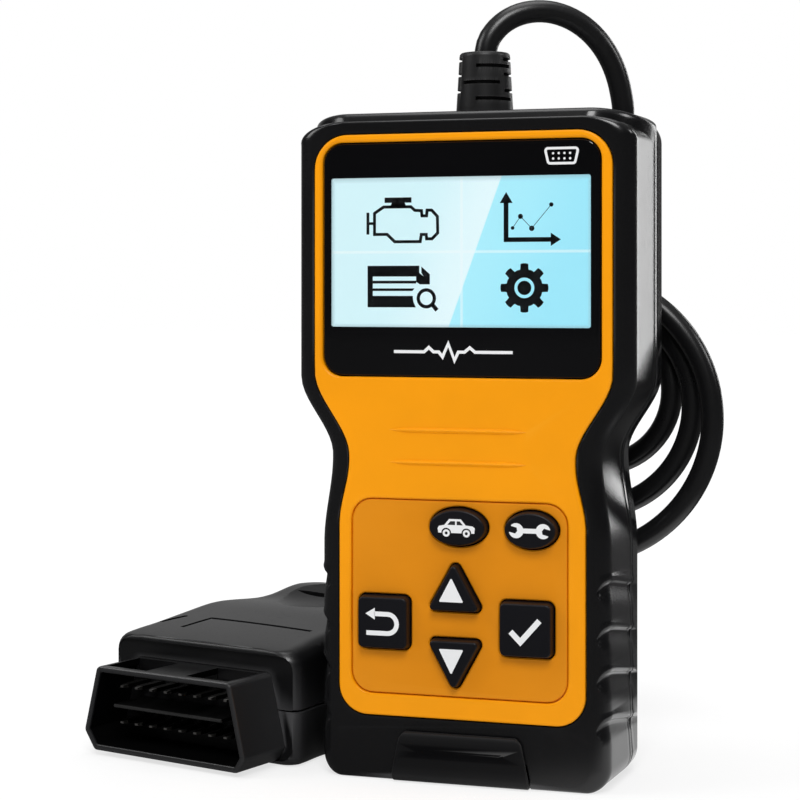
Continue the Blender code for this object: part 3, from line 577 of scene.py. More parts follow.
# heights of the mesh rows above the scallops
PLAIN_ROWS = [44.6, 46.5, 48.5, 50.5, 52.5, 54.5, 56.5, 58.5, 60.5, 62.0, 63.5, 65.0, 66.5,
              68.0, 69.3, 70.6, 71.9, 73.2, 74.5, 75.8, 77.2, 78.6, 80.2, 82.0, 85.0, 90.0,
              98.0, 108.0, 118.0, 124.0, 128.0]


def run_at(y):
    """Distance round from the front edge to depth y on the side."""
    return EDGE_RADIUS * math.pi / 2 + y - (FRONT_Y + EDGE_RADIUS)


def side_heights(run):
    """Heights of the points up one side. The rows near a finger scallop follow its lip."""
    out = [9.4]
    lift = between(LIP, run)
    for lip in reversed(SCALLOPS):
        for row in reversed(LIP_ROWS):
            if -1.0 < row < 0.6:
                follow = 1.0
            elif row > 0:
                follow = 1 - smooth((row - 0.6) / 0.9)
            else:
                follow = 1 - smooth((-row - 1.0) / 4.0)
            if lip + row > 9.9:
                out.append(lip + row + lift * follow)
    return out + PLAIN_ROWS


def scallop_depth(run, z):
    """How far the surface sinks at height z. A small bulge lies above each lip."""
    lift = between(LIP, run)
    back_fade = smooth((26.5 - run) / 2.5)
    for lip in SCALLOPS:
        above = z - lip - lift
        if 0.0 < above < 1.4:
            bulge = 0.17 * math.sin(math.pi * above / 1.4)
            return -bulge * smooth((run - 1.2) / 1.6) * back_fade
        if -6.4 < above < 0.0:
            low = max(0.0, (-(above + lift) - 1.7) / 1.35)
            front_fade = smooth((run - 1.55 - 0.8 * min(1.5, low) ** 2) / 0.55)
            profile = smooth(-above / 0.8) * (1 - smooth((-above - 0.3) / 5.6))
            return 0.62 * profile * front_fade * back_fade
    return 0.0


def draft(y):
    """The front shell widens a little towards the seam."""
    return max(-0.6, min(0.4, (y - 2.0) / 15.0))


def housing_loop(insets, top, rounding, side_y, top_y=None, low_y=None, run=None,
                 angle=math.pi / 2):
    """One loop of the housing, from its bottom right corner round.

    insets are for the sides, the bottom and the top; rounding is the top corners' (x, z)
    radius. y eases from side_y to top_y along the top and low_y along the bottom. run places
    the scallops, and angle is how far the surface has turned from facing the front."""
    inset, low_inset, top_inset = insets
    top_y = side_y if top_y is None else top_y
    low_y = side_y if low_y is None else low_y
    high = top - top_inset
    low_round = max(1.0, 4.8 - low_inset)
    low_z = low_inset + low_round
    round_x, round_z = max(1.5, rounding[0] - inset), max(0.6, rounding[1] - top_inset)
    half = []
    width = handset_half(low_z, inset)
    for k in range(CORNER_STEPS + 1):
        turn = -math.pi / 2 + math.pi / 2 * k / CORNER_STEPS
        y = low_y + (side_y - low_y) * smooth(k / CORNER_STEPS)
        half.append((width - low_round + low_round * math.cos(turn) + draft(y), y,
                     low_z + low_round * math.sin(turn)))
    for z in side_heights(8.0 if run is None else run):
        sink = 0.0 if run is None else scallop_depth(run, z)
        half.append((handset_half(z, inset) - sink * math.sin(angle) + draft(side_y),
                     side_y + sink * math.cos(angle), z))
    width = handset_half(high - round_z, inset)
    for k in range(CORNER_STEPS + 1):
        turn = math.pi / 2 * k / CORNER_STEPS
        y = top_y + (side_y - top_y) * (1 - k / CORNER_STEPS) ** 1.7
        half.append((width - round_x + round_x * math.cos(turn) + draft(y), y,
                     high - round_z + round_z * math.sin(turn)))
    return half + [(-x, y, z) for x, y, z in reversed(half)]


# Ovals and rectangles: centre x, centre z, width, height (and corner radius).
KEYS = {
    "vin": (oval, -0.2, 52.1, 12.0, 7.6),
    "dtc": (oval, 14.9, 52.0, 10.9, 7.5),
    "up": (triangle, (-6.8, 35.1), (5.0, 35.1), (-0.9, 45.6)),
    "down": (triangle, (-0.9, 18.7), (5.0, 29.5), (-6.8, 29.5)),
    "back": (rect, -15.9, 32.3, 10.8, 10.8, 1.3),
    "ok": (rect, 13.9, 32.2, 10.9, 11.0, 1.3),
}


def key_rings(key, stations):
    """Rings of a key's outline at stations of (growth, y)."""
    shape, *measures = KEYS[key]
    return stack(lambda grow: shape(*measures, grow), stations)


def key_holes(*stations):
    return [key_rings(key, stations) for key in KEYS]


def boot_hole():
    return turned([(3.8, 128.0), (3.8, 140.0)], (BOOT_X, BOOT_Y, 0))


def plate_loop(inset):
    low, high = PLATE_BOTTOM + inset, PLATE_TOP - inset
    low_round, top_round = 6.0 - inset, 7.0 - inset

    def corner(z, radius, start):
        width = plate_half(z, inset)
        turns = [start + math.pi / 2 * k / CORNER_STEPS for k in range(CORNER_STEPS + 1)]
        return [(width - radius + radius * math.cos(turn), z + radius * math.sin(turn))
                for turn in turns]

    half = corner(low + low_round, low_round, -math.pi / 2)
    half += [(plate_half(z, inset), z) for z in [20.5, 27.0, 34.0, 41.0] + PLAIN_ROWS[1:-1]]
    half += corner(high - top_round, top_round, 0.0)
    return half + [(-x, z) for x, z in reversed(half)]


def pad_half(z):
    """Half width of the port cover at height z."""
    return between(((2.0, 14.2), (8.9, 12.75), (9.6, 12.35), (10.2, 11.7), (10.6, 11.0)), z)


def pad_seat_loop(z):
    width = pad_half(z) + 0.22
    back = -10.95 if z > 2.5 else -1.7
    return [(-width, -14.0, z), (width, -14.0, z), (width, back, z), (-width, back, z)]


# Sides and top edge of the front shell behind its rounded front: (y at the sides, y at the top)
FRONT_SIDES = ((-5.5, -10.1), (-4.0, -10.0), (-2.5, -9.9), (-1.0, -9.8), (0.8, -9.7),
               (2.6, -9.55), (4.4, -9.4), (5.9, -9.2))
# The step up to the rim: y at the sides, y at the top, top, corner radii in x and z, side inset
FRONT_RIM = (
    (6.05, -9.05, FRONT_TOP - 0.25, 10.5, 4.5, 0.1),
    (6.2, -8.9, FRONT_TOP - 0.1, 10.4, 4.3, 0.12),
    (6.45, -8.6, FRONT_TOP + 0.9, 10.2, 3.9, 0.05),
    (6.7, -8.2, FRONT_TOP + 1.5, 10.1, 3.6, 0.0),
    (6.95, -7.6, HANDSET_TOP - 0.1, 10.0, 3.3, 0.0),
    (7.2, -6.8, HANDSET_TOP, 10.0, 3.2, 0.0),
    (7.7, 7.7, HANDSET_TOP, 10.0, 3.2, 0.0),
)
# The parting face and the inside: inset all round, top, corner radius in z, y
FRONT_INSIDE = (
    (0.3, HANDSET_TOP, 3.2, PARTING_Y),
    (WALL, HANDSET_TOP, 5.0, PARTING_Y),
    (WALL, HANDSET_TOP, 5.0, WEB_Y + 3.0),
    (WALL + 1.6, FRONT_TOP, 6.0, WEB_Y),
)


def housing_front():
    rings = []
    for degrees in (0, 6, 12, 17, 21, 25, 29, 33, 37, 42, 47, 53, 59, 66, 73, 81, 90):
        angle = math.radians(degrees)
        inward, back = 1 - math.sin(angle), 1 - math.cos(angle)
        rings.append(housing_loop(
            (EDGE_RADIUS * inward, 1.2 * inward, 0.6 * inward), FRONT_TOP, (10.5, 4.6),
            side_y=FRONT_Y + EDGE_RADIUS * back, top_y=FRONT_Y + 0.6 * back,
            low_y=FRONT_Y + 1.4 * back, run=EDGE_RADIUS * angle, angle=angle))
    for y, top_y in FRONT_SIDES:
        rings.append(housing_loop((0, 0, 0), FRONT_TOP, (10.5, 4.6), y, top_y,
                                  low_y=y - 2.6 * max(0.0, (4.4 - y) / 11.4), run=run_at(y)))
    for y, top_y, top, round_x, round_z, inset in FRONT_RIM:
        rings.append(housing_loop((inset, 0, 0), top, (round_x, round_z), y, top_y,
                                  run=run_at(y)))
    for inset, top, round_z, y in FRONT_INSIDE:
        rings.append(housing_loop((inset,) * 3, top, (10.0, round_z), y))

    recess = solid(through(plate_loop(-GAP), PLATE_BACK + GAP, FRONT_Y - 2))
    hole_front, hole_back = FRONT_Y - 4, WEB_Y + 1
    window = rect(SCREEN_X, SCREEN_Z, SCREEN_WIDTH + 1.2, SCREEN_HEIGHT + 1.2, 0.8)
    holes = solid(through(window, hole_front, hole_back),
                  *key_holes((GAP, hole_front), (GAP, hole_back)), boot_hole())
    pad_seat = solid([pad_seat_loop(z)
                      for z in (10.6, 10.35, 10.1, 9.6, 8.9, 8.0, 5.0, 2.0, -1.0)])
    bottom_opening = solid(box((-4.3, -6.9, -2.0), (4.3, -3.2, 5.0)))
    body = carve(solid(rings), (CUT, recess), (CUT, holes), (CUT, pad_seat),
                 (CUT, bottom_opening))
    piece("housing_front", body, "black_plastic", replaces="front_shell", weighted=True,
          sharp=38)


def housing_back():
    edge = 1.8  # radius of the rear edge
    rim = PARTING_Y + GAP
    # inset, y, whether the loop follows the scallops
    stations = [(edge, BACK_Y, False)]
    for degrees in (15, 30, 45, 60, 75):
        angle = math.radians(degrees)
        stations.append((edge * (1 - math.sin(angle)), BACK_Y - edge * (1 - math.cos(angle)),
                         True))
    stations += [(0, y, True) for y in (BACK_Y - edge, 11.0, 9.6, rim + 0.3)]
    stations += [(0.3, rim, False), (WALL, rim, False), (WALL, BACK_Y - 3.2, False),
                 (WALL + 1.4, BACK_Y - 1.8, False)]
    rings = [housing_loop((inset,) * 3, HANDSET_TOP, (8.0, 6.2), y,
                          run=run_at(y) if scalloped else None)
             for inset, y, scalloped in stations]
    bosses = solid(*[turned([(3.3, PARTING_Y - 0.1), (3.3, BACK_Y - 1.0)], (x, 0, z), "Y", 32)
                     for x, z in SCREWS.values()])
    screw_hole = [(1.3, PARTING_Y - 1.0), (1.3, BACK_Y - 2.3), (2.5, BACK_Y - 2.3),
                  (2.5, BACK_Y - 0.3), (2.9, BACK_Y + 0.1), (2.9, BACK_Y + 2.0)]
    holes = solid(*[turned(screw_hole, (x, 0, z), "Y", 40) for x, z in SCREWS.values()],
                  boot_hole())
    body = carve(solid(rings), (JOIN, bosses), (CUT, holes))
    piece("housing_back", body, "back_plastic", replaces="back_shell",
          weighted=True, sharp=38)


def plate_edge(radius, degrees, offset=0.0):
    """Stations of (offset, y) round the plate's front edge."""
    angles = [math.radians(step) for step in degrees]
    return [(offset + radius * (1 - math.cos(angle)),
             PLATE_FRONT + radius - radius * math.sin(angle)) for angle in angles]


# Upper part of a ridge's section: (rise from the plate, height from the ridge's middle)
RIDGE = ((0.12, -0.42), (0.40, -0.16), (0.46, 0.0), (0.40, 0.16), (0.10, 0.42))


def ridge(z):
    """A raised line across the plate, tapered at both ends."""
    rings = []
    root = PLATE_FRONT + 0.2
    for i in range(29):
        t = i / 28
        x = -14.9 + 28.7 * t
        size = min(1.0, 7.0 * t, 7.0 * (1 - t)) ** 0.6 + 0.02
        rings.append([(x, root, z - 0.62 * size)]
                     + [(x, PLATE_FRONT - rise * size, z + up * size) for rise, up in RIDGE]
                     + [(x, root, z + 0.62 * size)])
    return rings


def orange_plate():
    face = PLATE_FRONT
    body = solid(stack(plate_loop, [(0.0, PLATE_BACK), (0.0, face + 0.5)]
                       + plate_edge(0.5, (20, 40, 60, 75, 90))))
    edge = 0.62
    lens = solid(stack(lens_outline, [(GAP, PLATE_BACK + 1), (GAP, face + edge)]
                       + plate_edge(edge, (20, 40, 60, 80), GAP) + [(GAP + edge, face - 0.2)]))
    inlay = solid(stack(inlay_outline, (
        (0.0, face + 1.0), (0.0, face + 0.36), (0.06, face + 0.2), (0.22, face + 0.07),
        (0.45, face), (0.6, face - 0.3))))
    holes = solid(*key_holes((GAP, face - 3), (GAP, PLATE_BACK + 1)))
    ridges = solid(ridge(71.4), ridge(64.85))
    body = carve(body, (CUT, lens), (CUT, inlay), (CUT, holes), (JOIN, ridges))
    piece("orange_plate", body, "orange_plastic", replaces="face_plate", weighted=True,
          sharp=40)


def keypad_panel():
    face = PLATE_FRONT + 0.28
    panel = solid(stack(inlay_outline, (
        (-0.22, PLATE_FRONT + 0.95), (-0.22, face + 0.3), (-0.3, face + 0.12), (-0.5, face))))
    holes = solid(*key_holes((GAP + 0.25, PLATE_FRONT - 3), (GAP + 0.25, face - 0.01),
                             (GAP, face + 0.2), (GAP, PLATE_BACK + 1)))
    piece("keypad_panel", carve(panel, (CUT, holes)), "dark_orange", replaces="keypad_inlay",
          weighted=True, sharp=40)


# ------------------------------------------------------------- marks and symbols
class Mark:
    """A printed mark of thin plates on a face, standing a little in front of it."""

    def __init__(self, face, rise=0.035):
        self.front, self.back = face - rise, face + 0.05
        self.mesh = bmesh.new()

    def plate(self, points, lift=0.0):
        points = points if signed_area(points) > 0 else points[::-1]
        add_rings(self.mesh, through(points, self.front - lift, self.back))

    def ring(self, outer, inner):
        add_rings(self.mesh, [at_y(outer, self.front), at_y(outer, self.back),
                              at_y(inner, self.back), at_y(inner, self.front)], loop=True)

    def stroke(self, points, width, closed=False, lift=0.0):
        """A band of even width along a polyline."""
        ways = [(Vector(end) - Vector(start)).normalized()
                for start, end in zip(points, points[1:] + points[:1])]
        if not closed:
            ways[-1] = ways[-2]
        left, right = [], []
        for i, point in enumerate(points):
            entering = ways[i - 1] if i > 0 or closed else ways[0]
            along = (entering + ways[i]).normalized()
            mitre = 1.0 / max(0.45, along.dot(entering))
            side = Vector((-along.y, along.x)) * width / 2 * mitre
            left.append(tuple(Vector(point) + side))
            right.append(tuple(Vector(point) - side))
        if closed:
            self.ring(left, right)
        else:
            self.plate(left + right[::-1], lift)

    def place(self, name, material, slot, body="handset"):
        piece(name, self.mesh, material, body)


# Section of a key cap from the back: (growth of the outline, y)
CAP_STATIONS = (
    (0.9, WEB_Y + 1.3), (0.9, WEB_Y + GAP), (0.0, WEB_Y + GAP - 0.02), (0.0, -11.4),
    (-0.06, -11.9), (-0.16, -12.5), (-0.22, -12.85), (-0.3, -13.08), (-0.42, -13.22),
    (-0.56, -13.285), (-0.72, KEY_FACE))


def key_caps():
    for key in KEYS:
        piece(f"cap_{key}", solid(key_rings(key, CAP_STATIONS)), "key_plastic", f"{key}_key",
              replaces=f"key_{key}", sharp=50)


def key_symbol(mark, name, key, material="print_white"):
    mark.place(f"symbol_{name}", material, "key_plastic", f"{key}_key")


def arrow_symbols():
    for key, points in (("up", [(-3.88, 37.15), (1.27, 37.15), (-1.28, 42.05)]),
                        ("down", [(-3.88, 27.7), (1.27, 27.7), (-1.28, 22.6)])):
        mark = Mark(KEY_FACE)
        mark.plate(rounded(points, 0.18, 3))
        key_symbol(mark, key, key)


def return_symbol():
    """A return arrow."""
    mark = Mark(KEY_FACE)
    centre = (-15.9, 32.2)
    shaft = [(-3.3, -2.0), (1.2, -2.0)] + arc(1.2, -0.05, 1.95, -84, 84, 14) + [(-1.6, 1.9)]
    mark.stroke(moved(shaft, centre), 0.95)
    mark.plate(moved([(-3.5, 1.9), (-1.5, 3.1), (-1.5, 0.7)], centre))
    key_symbol(mark, "back", "back")


def tick_symbol():
    mark = Mark(KEY_FACE)
    mark.stroke(moved([(-2.9, -0.1), (-0.9, -2.1), (3.0, 2.3)], (13.9, 32.0)), 1.15)
    key_symbol(mark, "ok", "ok")


def vehicle_symbol():
    """Side view of a car, with its windows in the key's colour."""
    centre = (-0.2, 52.0)
    mark = Mark(KEY_FACE)
    body = [(-3.75, -0.95)]
    for wheel_x in (-2.1, 2.1):
        body += arc(wheel_x, -0.95, 1.02, 180, 0, 12)
    body += [(3.75, -0.95), (3.85, 0.15), (3.4, 0.5), (1.95, 0.65), (0.95, 1.85), (-1.5, 1.85),
             (-2.5, 0.65), (-3.65, 0.4), (-3.9, -0.1)]
    mark.plate(moved(body, centre))
    for wheel_x in (-2.1, 2.1):
        mark.ring(*(moved(circle(wheel_x, -0.98, radius, 28), centre) for radius in (0.74, 0.3)))
    key_symbol(mark, "vehicle", "vin")
    mark = Mark(KEY_FACE)
    for window in ([(-1.85, 0.66), (-0.25, 0.66), (-0.25, 1.42), (-1.22, 1.42)],
                   [(0.1, 0.66), (1.35, 0.66), (0.72, 1.42), (0.1, 1.42)]):
        mark.plate(moved(window, centre), lift=0.012)
    key_symbol(mark, "vehicle_windows", "vin", "key_plastic")


def spanner_symbol():
    """A spanner with an open jaw at both ends."""
    mark = Mark(KEY_FACE)
    x, z = 14.9, 52.0
    # a jaw's mouth: (distance along the jaw's direction, distance across it)
    mouth = ((1.25, -0.62), (0.05, -0.62), (-0.25, 0.0), (0.05, 0.62), (1.25, 0.62))
    for head_x, tilt in ((x - 2.75, 165), (x + 2.75, -15)):
        along = Vector((math.cos(math.radians(tilt)), math.sin(math.radians(tilt))))
        across = Vector((-along.y, along.x))
        head = Vector((head_x, z))
        mark.plate(arc(head_x, z, 1.5, tilt + 32, tilt + 328, 24)
                   + [tuple(head + along * out + across * side) for out, side in mouth])
    mark.plate(oblong(x - 1.9, z - 0.48, x + 1.9, z + 0.48), lift=0.006)
    key_symbol(mark, "service", "dtc")


def keys():
    key_caps()
    arrow_symbols()
    return_symbol()
    tick_symbol()
    vehicle_symbol()
    spanner_symbol()


def screen_layers():
    """The black border, the display slab and the clear window in front of it."""
    border = stack(lens_outline, ((0.0, PLATE_BACK), (0.0, -10.98), (-0.05, -11.08),
                                  (-0.17, LENS_FACE)))
    border += through(screen_outline(0.5), LENS_FACE, PLATE_BACK)
    piece("screen_border", solid(border, loop=True), "lens", replaces="screen_lens", sharp=30)
    slab = solid(through(screen_outline(0.45, -0.04), DISPLAY_FACE, PLATE_BACK))
    piece("display_picture", slab, "display", replaces="lcd_panel")
    slab = solid(through(screen_outline(0.45, -0.03), LENS_FACE, DISPLAY_FACE - 0.12))
    piece("screen_window", slab, "clear_window")


def picture_mark():
    return Mark(DISPLAY_FACE, rise=0.07)


ENGINE_BLOCK = [
    (-18.080, 115.550), (-16.359, 116.657), (-10.525, 116.657), (-9.702, 115.919),
    (-8.281, 115.845), (-8.169, 114.775), (-7.196, 114.775), (-7.084, 115.919),
    (-6.112, 115.919), (-4.915, 114.627), (-4.840, 111.306), (-6.037, 110.126),
    (-7.196, 110.126), (-7.271, 111.011), (-8.318, 111.011), (-8.543, 109.572),
    (-13.966, 109.572), (-15.611, 111.085), (-18.304, 111.085), (-18.304, 115.365)]


def engine_picture():
    mark = picture_mark()
    mark.stroke(ENGINE_BLOCK, 0.62, closed=True)
    # cap and neck on top
    mark.plate(oblong(-16.135, 117.506, -10.413, 118.576))
    mark.plate([(-14.564, 117.542), (-11.871, 117.542), (-11.497, 116.694),
                (-14.938, 116.694)])
    # upright bar on the left and its stem
    mark.plate(oblong(-20.024, 111.085, -19.426, 115.550))
    mark.plate(oblong(-19.463, 113.041, -18.304, 113.594))
    mark.place("picture_engine", "print_black", "display")


def chart_picture():
    mark = picture_mark()
    # axes and their arrowheads
    mark.plate([(8.939, 117.374), (9.913, 117.374), (9.913, 110.288), (18.676, 110.288),
                (18.676, 109.352), (8.939, 109.352)])
    mark.plate([(9.444, 119.352), (10.778, 117.158), (8.110, 117.158)])
    mark.plate([(20.659, 109.820), (18.603, 111.151), (18.603, 108.525)])
    # x, z, radius
    dots = ((10.778, 112.158, 0.36), (12.401, 114.460, 0.504), (14.709, 112.050, 0.54),
            (18.712, 116.762, 0.432))
    for x, z, radius in dots:
        mark.plate(circle(x, z, radius, 24))
    mark.stroke([(x, z) for x, z, _ in dots], 0.12, lift=-0.02)
    mark.place("picture_chart", "print_black", "display")


def document_picture():
    """A document with a magnifier."""
    mark = picture_mark()
    # head of the page and its folded corner
    mark.plate([(-19.796, 104.685), (-8.740, 104.685), (-8.740, 103.233), (-7.775, 102.490),
                (-19.796, 102.490)])
    mark.plate([(-8.295, 104.508), (-6.514, 102.950), (-6.514, 100.897), (-8.555, 100.897),
                (-9.408, 101.392), (-9.408, 102.490), (-7.775, 102.490), (-8.295, 103.233)])
    # left margin and three bars
    mark.plate(oblong(-19.796, 96.224, -18.683, 102.490))
    mark.plate(oblong(-18.683, 101.074, -9.408, 101.640))
    mark.plate([(-18.683, 100.083), (-9.779, 100.083), (-10.224, 99.552), (-18.683, 99.552)])
    mark.plate([(-18.683, 98.560), (-10.150, 98.560), (-10.001, 97.357), (-9.482, 96.224),
                (-18.683, 96.224)])
    mark.ring(*(circle(-7.256, 98.065, radius, 44) for radius in (2.05, 1.35)))
    mark.stroke([(-5.883, 96.684), (-4.993, 95.658)], 0.85)
    mark.place("picture_document", "print_black", "display")


# One tooth of the gear and the gap after it: (angle from the tooth's middle, radius)
GEAR_TOOTH = ((-0.236, 3.72), (-0.20, 4.1), (-0.165, 4.85), (-0.06, 4.93), (0.06, 4.93),
              (0.165, 4.85), (0.20, 4.1), (0.236, 3.72), (0.31, 3.76), (0.39, 3.78),
              (0.47, 3.76))


def gear_picture():
    mark = picture_mark()
    x, z = 13.1976, 100.1839
    teeth = []
    for i in range(8):
        middle = math.pi / 4 * i
        for angle, radius in GEAR_TOOTH:
            teeth.append((x + radius * math.cos(middle + angle),
                          z + radius * math.sin(middle + angle)))
    mark.ring(teeth, circle(x, z, 2.05, len(teeth), GEAR_TOOTH[0][0]))
    mark.plate(circle(x, z, 1.42, 44))
    mark.place("picture_gear", "print_black", "display")


def border_marks():
    """A pulse line below the screen and a plug outline above it."""
    mark = Mark(LENS_FACE)
    pulse = [(-14.0, 0.0), (-7.6, 0.0), (-6.6, 0.9), (-5.6, 0.0), (-4.5, 0.0), (-3.7, -1.0),
             (-2.5, 1.7), (-1.2, -1.7), (-0.4, 0.0), (0.9, 0.0), (2.0, 0.9), (3.1, 0.0),
             (10.9, 0.0)]
    mark.stroke(moved(pulse, (0.0, 87.25)), 0.62)
    mark.place("mark_pulse", "print_white", "lens")
    mark = Mark(LENS_FACE)
    x, z = 20.9, 126.4
    shell = moved([(-3.4, 1.5), (3.4, 1.5), (2.7, -1.5), (-2.7, -1.5)], (x, z))
    mark.stroke(rounded(shell, 0.5, 4), 0.5, closed=True)
    for column in range(4):
        for row in (0.5, -0.55):
            mark.plate(circle(x + (column - 1.5) * 1.15, z + row, 0.24, 16))
    mark.place("mark_connector", "print_white", "lens")


def screen():
    screen_layers()
    engine_picture()
    chart_picture()
    document_picture()
    gear_picture()
    border_marks()


# ------------------------------------------------------------------- small parts
def cover_pad():
    """The port cover: a rubber plate that wraps round the bottom edge, with a nail slot."""
    thick, bevel = 0.9, 0.26
    # middle of the plate's thickness as (y, z), from its top down the front and to the back
    middle = [(-11.95, z) for z in (10.33, 10.08, 9.8, 9.4, 8.9, 8.0, 6.5, 5.0, 3.5, 1.95)]
    for k in range(1, 8):
        angle = math.pi / 2 * k / 8
        middle.append((-10.75 - 1.2 * math.cos(angle), 1.75 - 1.2 * math.sin(angle)))
    middle += [(y, 0.55) for y in (-10.75, -8.0, -5.0, -2.0)]
    top_slope = (0.3, 0.12, 0.03, 0.0)  # how far the outside draws back near the top
    last = len(middle) - 1
    rings = []
    for i, (y, z) in enumerate(middle):
        along = (Vector(middle[min(last, i + 1)]) - Vector(middle[max(0, i - 1)])).normalized()
        normal = Vector((along.y, -along.x))
        width = pad_half(z)
        outer = thick / 2 - (0.18 if i in (0, last) else 0.0)
        out_y, out_z = y + normal.x * outer, z + normal.y * outer
        in_y, in_z = y - normal.x * thick / 2, z - normal.y * thick / 2
        if i == 0:
            out_z = in_z = z
        if i < len(top_slope):
            out_y += top_slope[i]
        low_y, low_z = out_y - normal.x * bevel, out_z - normal.y * bevel
        half = [(width, in_y, in_z), (width, low_y, low_z),
                (width - bevel * 0.35, out_y + (low_y - out_y) * 0.3,
                 out_z + (low_z - out_z) * 0.3),
                (width - bevel, out_y, out_z)]
        rings.append([(-x, *rest) for x, *rest in half] + half[::-1])
    slot = [(-9.6, 6.9), (-8.2, 5.6), (8.2, 5.6), (9.6, 6.9)]
    # growth, corner radius, y
    stations = ((0.25, 0.5, -12.7), (0.1, 0.4, -12.38), (-0.3, 0.25, -12.22))
    cut = solid([at_y(rounded(grown(slot, grow), radius, 4), y)
                 for grow, radius, y in stations])
    piece("cover_pad", carve(solid(rings), (CUT, cut)), "pad_rubber", "port_flap",
          replaces="port_cover", weighted=True, sharp=40)


# Handset boot, turned round the cable: (radius, z)
BOOT_PROFILE = (
    (CABLE_RADIUS + 0.02, 131.4), (5.2, 131.4), (5.2, 133.4), (3.4, 133.4), (3.4, 136.4),
    (5.8, 136.4), (5.95, 136.6), (5.88, 138.0), (5.76, 140.0), (5.64, 142.0), (5.52, 144.0),
    (5.42, 146.0), (5.3, 148.2), (5.2, 148.75), (4.9, 149.05), (4.3, 149.1), (3.2, 148.9),
    (2.75, 148.5), (CABLE_RADIUS + 0.02, 148.0))
# Slots round the boot: z, middle angle, half angle in degrees
BOOT_SLOTS = (
    (139.3, -50.0, 44), (142.7, -84.0, 44), (146.1, -50.0, 44),
    (139.3, 120.0, 40), (142.7, 96.0, 44), (146.1, 120.0, 40),
    (141.0, 5.0, 34), (144.4, 5.0, 34), (147.5, 5.0, 34),
    (141.0, 190.0, 34), (144.4, 190.0, 34), (147.5, 190.0, 34))


def boot_slot(z, middle, half):
    """A wedge of a ring round the boot's axis."""
    start, end, steps = middle - half, middle + half, 14
    section = oblong(3.7, z - 0.36, 7.0, z + 0.36)  # (radius, z)
    rings = []
    for i in range(steps + 1):
        angle = math.radians(start + (end - start) * i / steps)
        rings.append([(BOOT_X + radius * math.cos(angle), BOOT_Y + radius * math.sin(angle),
                       height) for radius, height in section])
    return solid(rings)


def cable_boot():
    boot = solid(turned(BOOT_PROFILE, (BOOT_X, BOOT_Y, 0), segments=72), loop=True)
    boot = carve(boot, *[(CUT, boot_slot(*row)) for row in BOOT_SLOTS])
    piece("cable_boot", boot, "black_rubber", replaces="handset_boot", weighted=True, sharp=40)


# The coil, one row per quarter turn: centre x, centre z, radius, y
COIL = ((14.8, 72.5, 29.5, 19.6), (15.8, 72.5, 29.5, 21.0), (15.9, 72.5, 29.5, 23.2),
        (15.9, 72.6, 29.4, 25.4), (17.2, 74.0, 24.8, 26.2), (18.3, 74.8, 22.2, 26.6),
        (18.5, 75.0, 22.0, 27.2), (18.7, 75.3, 21.6, 29.4), (19.1, 77.0, 18.4, 30.4),
        (19.4, 78.0, 16.2, 30.6), (19.4, 78.0, 16.0, 30.8), (19.2, 78.0, 16.0, 33.6))
# From the coil down behind the handset and over to the plug: x, y, z
COIL_TO_PLUG = ((4.5, 36.6, 87.0), (-6.0, 39.0, 70.0), (-10.0, 43.0, 50.0),
                (-11.5, 52.0, 31.0), (-13.5, 66.0, 18.0), (-17.0, 81.0, 13.0),
                (-24.5, 90.0, 12.5), (-32.5, 90.5, 12.5))


def on_coil(quarter):
    """Point of the coil after so many quarter turns."""
    i = min(len(COIL) - 2, int(quarter))
    t = quarter - i
    centre_x, centre_z, radius = (start + (end - start) * smooth(t)
                                  for start, end in zip(COIL[i][:3], COIL[i + 1][:3]))
    y = COIL[i][3] + (COIL[i + 1][3] - COIL[i][3]) * t
    angle = math.pi + math.pi / 2 * quarter
    return Vector((centre_x + radius * math.cos(angle), y, centre_z + radius * math.sin(angle)))


def cable_path():
    """Centre line of the cable from inside the handset to inside the plug's boot."""
    points = [Vector((BOOT_X, BOOT_Y, z)) for z in (127.5, 134.0, 141.0, 146.5)]
    # the bend over the top, to the right and back
    for i in range(1, 13):
        t = i / 12
        angle = math.pi * t
        points.append(Vector((BOOT_X + 26.2 * (1 - math.cos(angle)) / 2,
                              BOOT_Y + 15.0 * smooth(t),
                              148.0 + 11.5 * math.sin(angle) - 12.0 * t ** 3)))
    # a Hermite curve down to the coil
    start, first = points[-1], on_coil(0.0)
    pull = Vector((0, 0, -62))
    for i in range(1, 8):
        t = i / 8
        point = (start * (2 * t ** 3 - 3 * t ** 2 + 1) + pull * (t ** 3 - 2 * t ** 2 + t)
                 + first * (-2 * t ** 3 + 3 * t ** 2) + pull * (t ** 3 - t ** 2))
        point.y = start.y + (first.y - start.y) * smooth(t * 1.6)
        points.append(point)
    steps = 8  # per quarter turn
    points += [on_coil(i / steps) for i in range((len(COIL) - 1) * steps + 1)]
    points += [Vector(point) for point in COIL_TO_PLUG]
    back = Vector((-math.sin(PLUG_YAW), math.cos(PLUG_YAW), 0))
    pivot = Vector((PLUG_AT.x, PLUG_AT.y, PIVOT_Z)) + back * PIVOT_BACK
    return points + [pivot + back * reach for reach in (5.8, 3.6, 1.2, -1.2, -4.0, -8.0)]


